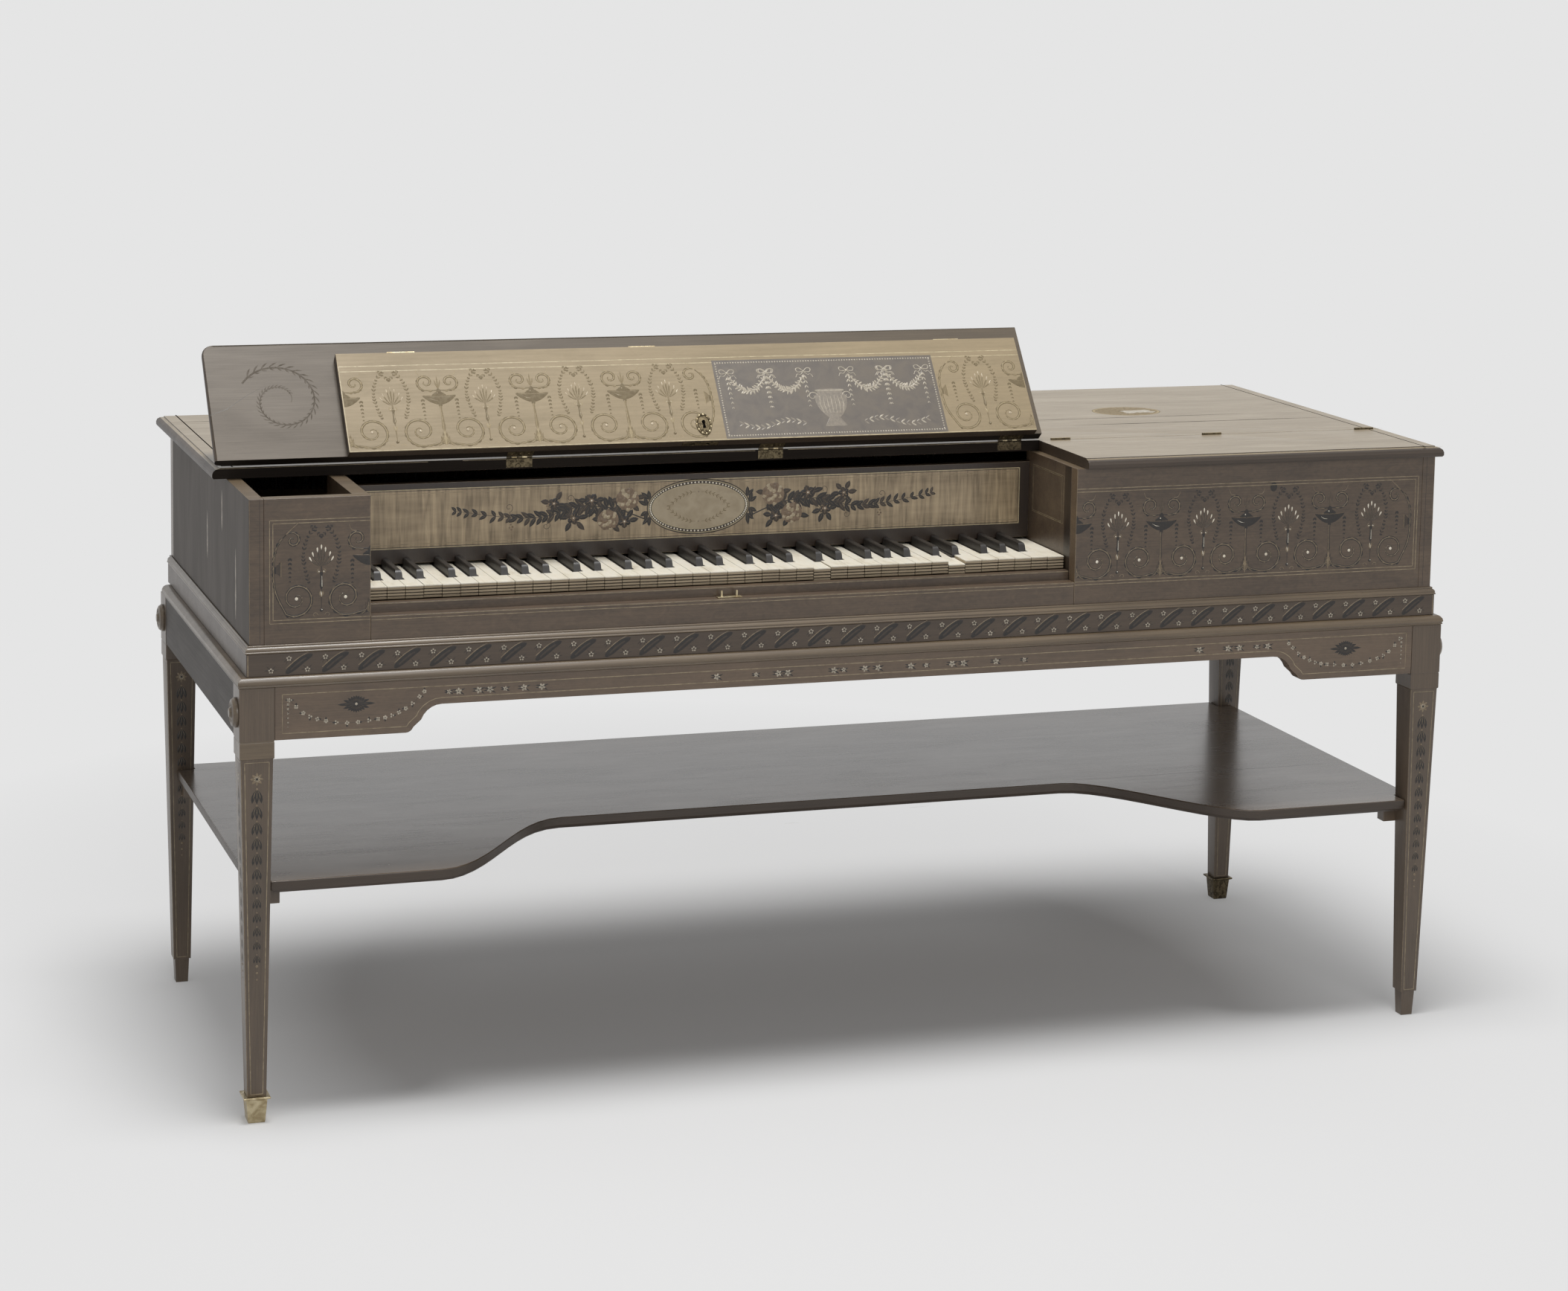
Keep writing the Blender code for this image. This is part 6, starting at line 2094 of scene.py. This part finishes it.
    def swag(self, relief: Relief, inks: Inks, side: int) -> None:
        """Dark pointed patera over a string of small flowers, with a drop at its outer end.

        Args:
            relief: where it is painted.
            inks: its colours.
            side: 1 at the apron's left end, -1 where it is mirrored to the right end.
        """
        near = 800.0 - side * 800.0
        middle = (near + side * 129.0, 521.5)
        for share, material in ((1.0, inks.dark), (0.66, inks.mid), (0.5, inks.dark)):
            for i in range(20):
                turn = radians(18.0 * i)
                reach = ((abs(cos(turn)) / 23.5) ** 1.3 + (abs(sin(turn)) / 11.0) ** 1.3) ** (-1 / 1.3)
                relief.petal(
                    middle, 18.0 * i, reach * share, 4.6 * share, material, 0.0, 0.2 - 0.08 * share, 0.6,
                )
        relief.pearl(middle, 1.8, inks.light, 0.4)
        stops = [
            (45.2, 533.4), (63.8, 513.9), (86.0, 503.9), (117.6, 498.5), (150.6, 500.6), (173.1, 504.6),
            (194.4, 515.0), (213.4, 532.3),
        ]
        way = curve(mirrored(stops, near, side), 5)
        relief.ridge(way, [0.4] * len(way), inks.mid, 0.08)
        spots = [(q, 2.9) for q in way[1::2]]
        spots += [((near + side * 45.2, 531.0 - 5.6 * i), 2.0 - 0.2 * i) for i in range(7)]
        for i, (spot, radius) in enumerate(spots):
            relief.petal(spot, 90.0 * i, radius * 1.8, radius, inks.dark, 0.0, 0.1)
            for q in ellipse(spot, radius * 0.6, radius * 0.6, 3 + i % 3, 40.0 * i):
                relief.pearl(q, radius * 0.4, inks.light, 0.2)

    def shelf_details(self) -> None:
        """Crack and fine scratches in the shelf's top, and the blocks that bear its corners."""
        p = self.palette
        relief = Relief(top_face(self.shelf_top))
        crack = [(1180.0, 216.0), (1260.0, 214.5), (1370.0, 216.5), (1480.0, 214.0), (1560.0, 215.0)]
        relief.ridge(crack, [0.4, 0.9, 1.2, 0.9, 0.5], p.string_dark, 0.03)
        rng = random.Random(11)
        for _ in range(40):
            u, v = rng.uniform(60, 1540), rng.uniform(70, 560)
            scratch = [(u, v), (u + rng.uniform(10, 60), v + rng.uniform(-2, 2))]
            relief.ridge(scratch, [0.25, 0.12], p.leaf_light, 0.015)
        relief.build("shelf_wear", "case_and_stand", "stand_wood")
        heap = Heap()
        for _, x, y in self.leg_middles:
            inward = 1 if x < 800 else -1
            deep = 1 if y < 300 else -1
            low = at(min(x, x + inward * 34.0), min(y + deep * 16.0, y + deep * 34.0), 268.0)
            heap.block(low, low + Vector((34.0, 18.0, 20.2)) * MM, p.leg)
        heap.build("shelf_bearers", "case_and_stand", "stand_wood", (), 0.8)


@dataclass
class Interior:
    """Action and strings: rails, hammers, dampers, pins, cloths and wires."""

    palette: Palette
    courses: int = 68
    slope: float = 0.29
    hitch: float = 1541.0
    hitch_height: float = 723.4
    bridge_height: float = 723.0
    tuning_height: float = 716.0
    slip_top: float = 638.4
    bridge: tuple[Point2, ...] = (
        (1461.4, 78.6), (1435.0, 86.0), (1408.0, 106.0), (1381.8, 136.5), (1355.0, 174.7), (1328.8, 218.0),
        (1275.7, 310.0), (1249.0, 353.0), (1222.7, 391.5), (1196.0, 422.0), (1169.6, 442.0), (1143.0, 449.4),
    )

    def build(self) -> None:
        """Make everything inside the case."""
        p = self.palette
        dress("key_frame", lambda n, m: p.case_veneer if m.y < 31.0 else p.oak)
        dress("soundboard", p.spruce)
        for node in ("hitch_rail", "bridge", "wrest_plank", "hammer_rail", "damper_rail"):
            dress(node, p.beech)
        dress("lock_catch", p.brass, 0.3)
        # Pale line along the key slip's top arris: a painted highlight.
        slip = Relief(front_face(from_corner(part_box("key_frame")[0]).y))
        slip.band([(149.6, self.slip_top), (1077.2, self.slip_top)], 0.9, p.string, 0.08)
        slip.build("key_slip_arris_painted_highlight", "case_and_stand", "case_wood")
        self.strings()
        self.action()

    def place(self, share: float) -> Point2:
        """Place of a course on the bridge, from bass (0) to treble (1)."""
        stop = share * (len(self.bridge) - 1)
        i = min(int(stop), len(self.bridge) - 2)
        part = stop - i
        return tuple(a + (b - a) * part for a, b in zip(self.bridge[i], self.bridge[i + 1]))

    def strings(self) -> None:
        """Two wires for each course, with their hitch, bridge and tuning pins."""
        p = self.palette
        wires, pins, hooks = Heap(), Heap(), Heap()
        for i in range(self.courses):
            share = i / (self.courses - 1)
            for twin in (0, 1):
                x, y = self.place(share)
                y += 2.0 * twin
                end_x = 60.0 + 1000.0 * share**1.3 + 13.0 * twin
                far_x = self.hitch + 12.0 * (i % 2)
                end = at(end_x, y + self.slope * (x - end_x), self.tuning_height)
                far = at(far_x, y - self.slope * (far_x - x), self.hitch_height)
                radius = 0.00055 - 0.0003 * share
                wires.tube([far, at(x, y, self.bridge_height), end], [radius] * 3, p.wire, 4)
                shank = [end + UPRIGHT * height for height in (-0.008, 0.012, 0.022)]
                pins.tube(shank, [0.0022, 0.0022, 0.0018], p.iron, 6)
                hooks.tube([far - UPRIGHT * 0.003, far + UPRIGHT * 0.004], [0.0009, 0.0009], p.brass_dark, 6)
                pin = at(x + 2.4, y - 1.6, 722.0)
                hooks.tube([pin, pin + UPRIGHT * 0.003], [0.0006, 0.0006], p.brass_dark, 6)
        wires.build("strings", "case_and_stand", "brass", (), 0.0, 80.0)
        pins.build("tuning_pins", "case_and_stand", "brass", (), 0.0, 40.0)
        hooks.build("hitch_and_bridge_pins", "case_and_stand", "brass", (), 0.0, 40.0)

    def action(self) -> None:
        """Hammers, dampers, and the cloths of the key frame."""
        p = self.palette
        heap = Heap()
        keys = Keyboard(p)
        for i in range(self.courses):
            low, high = keys.slot_of(i)
            x = (low + high) / 2
            heap.block(at(x - 3.5, 214.0, 684.5), at(x + 3.5, 236.0, 685.9), p.leather)
            shank_line = [at(x, 226.0, 686.6), at(x, 262.0, 690.0), at(x, 300.0, 693.5)]
            heap.tube(shank_line, [0.0018, 0.0014, 0.0014], p.lime, 6)
            head_line = [at(x, 298.0, 690.6), at(x, 298.0, 697.5), at(x, 299.0, 703.5)]
            heap.tube(head_line, [0.0026, 0.0036, 0.0024], p.leather, 8)
            heap.block(at(x - 3.2, 202.0, 724.0), at(x + 3.2, 214.0, 728.4), p.red_cloth)
            heap.block(at(x - 2.4, 203.5, 728.2), at(x + 2.4, 212.5, 733.2), p.lime)
        heap.block(at(19.0, 214.6, 684.4), at(148.0, 235.4, 685.2), p.red_cloth)
        heap.build("hammers_and_dampers", "case_and_stand", "beech", (), 0.0, 45.0)


@dataclass
class Studio:
    """Camera at the photograph's viewing angle, pale floor and backdrop, and soft lamps."""

    place: tuple[float, float, float] = (-1.509, -4.4199, 1.48)
    yaw: float = 0.3246
    pitch: float = -0.1297
    roll: float = 0.0168
    lens: float = 80.02
    floor_radius: float = 9.0
    fill_tone: str = "#B4B4B4"
    fill_strength: float = 0.56
    shift: float = -0.1746
    backdrop: str = "#E5E5E5"
    floor: str = "#DCDCDC"

    def build(self) -> None:
        """Make the camera, the floor, the world and the lamps."""
        bpy.context.scene.view_settings.view_transform = "Standard"
        self.camera()
        self.ground()
        self.world()
        self.lamp("window_front", (0.2, -6.2, 3.4), 3.0, 86.0)
        self.lamp("skylight", (-0.3, -0.6, 5.4), 1.8, 232.0)

    def camera(self) -> None:
        """Place the camera by its three angles."""
        forward = Vector((
            sin(self.yaw) * cos(self.pitch), cos(self.yaw) * cos(self.pitch), sin(self.pitch),
        ))
        right = Vector((cos(self.yaw), -sin(self.yaw), 0.0))
        up = right.cross(forward)
        across = right * cos(self.roll) + up * sin(self.roll)
        above = up * cos(self.roll) - right * sin(self.roll)
        data = bpy.data.cameras.new("view")
        data.lens = self.lens
        data.sensor_width = 36.0
        data.sensor_fit = "HORIZONTAL"
        data.shift_y = self.shift
        camera = bpy.data.objects.new("view", data)
        turn = Matrix((across, above, -forward)).transposed().to_4x4()
        camera.matrix_world = Matrix.Translation(Vector(self.place)) @ turn
        bpy.context.scene.collection.objects.link(camera)
        bpy.context.scene.camera = camera

    def ground(self) -> None:
        """Pale matt floor that fades into the backdrop away from the stand."""
        material = bpy.data.materials.new("pale_matt_floor")
        material.use_nodes = True
        tree = material.node_tree
        shader = tree.nodes["Principled BSDF"]
        shader.inputs["Base Color"].default_value = linear(self.floor)
        shader.inputs["Roughness"].default_value = 0.9
        shader.inputs["Specular IOR Level"].default_value = 0.1
        glow = add_node(tree, "ShaderNodeEmission", {"Color": linear(self.backdrop), "Strength": 1.0})
        spot = add_node(tree, "ShaderNodeTexCoord", {})
        stretch = {"Scale": (0.5, 0.42, 1.0)}
        centred = add_node(tree, "ShaderNodeMapping", stretch, {"Vector": spot.outputs["Object"]})
        far = add_node(tree, "ShaderNodeVectorMath", {"operation": "LENGTH"}, {0: centred.outputs[0]})
        settings = {"From Min": 0.3, "From Max": 0.78}
        fade = add_node(tree, "ShaderNodeMapRange", settings, {0: far.outputs["Value"]})
        parts = {0: fade.outputs[0], 1: shader.outputs[0], 2: glow.outputs[0]}
        blend = add_node(tree, "ShaderNodeMixShader", {}, parts)
        tree.links.new(blend.outputs[0], tree.nodes["Material Output"].inputs["Surface"])
        mesh = bpy.data.meshes.new("floor")
        turns = [2 * pi * i / 96 for i in range(96)]
        rim = [(self.floor_radius * cos(t), self.floor_radius * sin(t), -0.0002) for t in turns]
        mesh.from_pydata(rim, [], [tuple(range(96))])
        mesh.materials.append(material)
        floor = bpy.data.objects.new("floor", mesh)
        bpy.context.scene.collection.objects.link(floor)

    def world(self) -> None:
        """Backdrop tone for the camera and for gloss, and a plain soft fill for everything else."""
        world = bpy.data.worlds.new("studio")
        bpy.context.scene.world = world
        world.use_nodes = True
        tree = world.node_tree
        tree.nodes.clear()
        ray = add_node(tree, "ShaderNodeLightPath", {})
        seen = add_node(
            tree, "ShaderNodeMath", {"operation": "MAXIMUM"},
            {0: ray.outputs["Is Camera Ray"], 1: ray.outputs["Is Glossy Ray"]},
        )
        light = {"Color": linear(self.fill_tone), "Strength": self.fill_strength}
        fill = add_node(tree, "ShaderNodeBackground", light)
        sight = add_node(tree, "ShaderNodeBackground", {"Color": linear(self.backdrop), "Strength": 1.0})
        parts = {0: seen.outputs[0], 1: fill.outputs[0], 2: sight.outputs[0]}
        blend = add_node(tree, "ShaderNodeMixShader", {}, parts)
        add_node(tree, "ShaderNodeOutputWorld", {}, {"Surface": blend.outputs[0]})

    def lamp(self, name: str, place: tuple[float, float, float], size: float, power: float) -> None:
        """Add a square soft lamp that faces the case.

        Args:
            name: its name.
            place: its place in metres.
            size: its side in metres.
            power: its power in watts.
        """
        data = bpy.data.lights.new(name, "AREA")
        data.size = size
        data.energy = power
        lamp = bpy.data.objects.new(name, data)
        lamp.location = place
        aim = Vector((0.0, 0.0, 0.6)) - Vector(place)
        lamp.rotation_euler = aim.to_track_quat("-Z", "Y").to_euler()
        bpy.context.scene.collection.objects.link(lamp)


def main() -> None:
    logging.basicConfig(level=logging.INFO, format="%(name)s %(message)s")
    palette = Palette()
    lid = Lid(palette)
    for assembly in (
        Studio(), Case(palette), NameBoard(palette), lid, LockBoard(palette, lid), Keyboard(palette),
        Stand(palette), Interior(palette),
    ):
        LOG.info("building %s", type(assembly).__name__)
        assembly.build()
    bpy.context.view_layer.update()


if __name__ == "__main__":
    main()
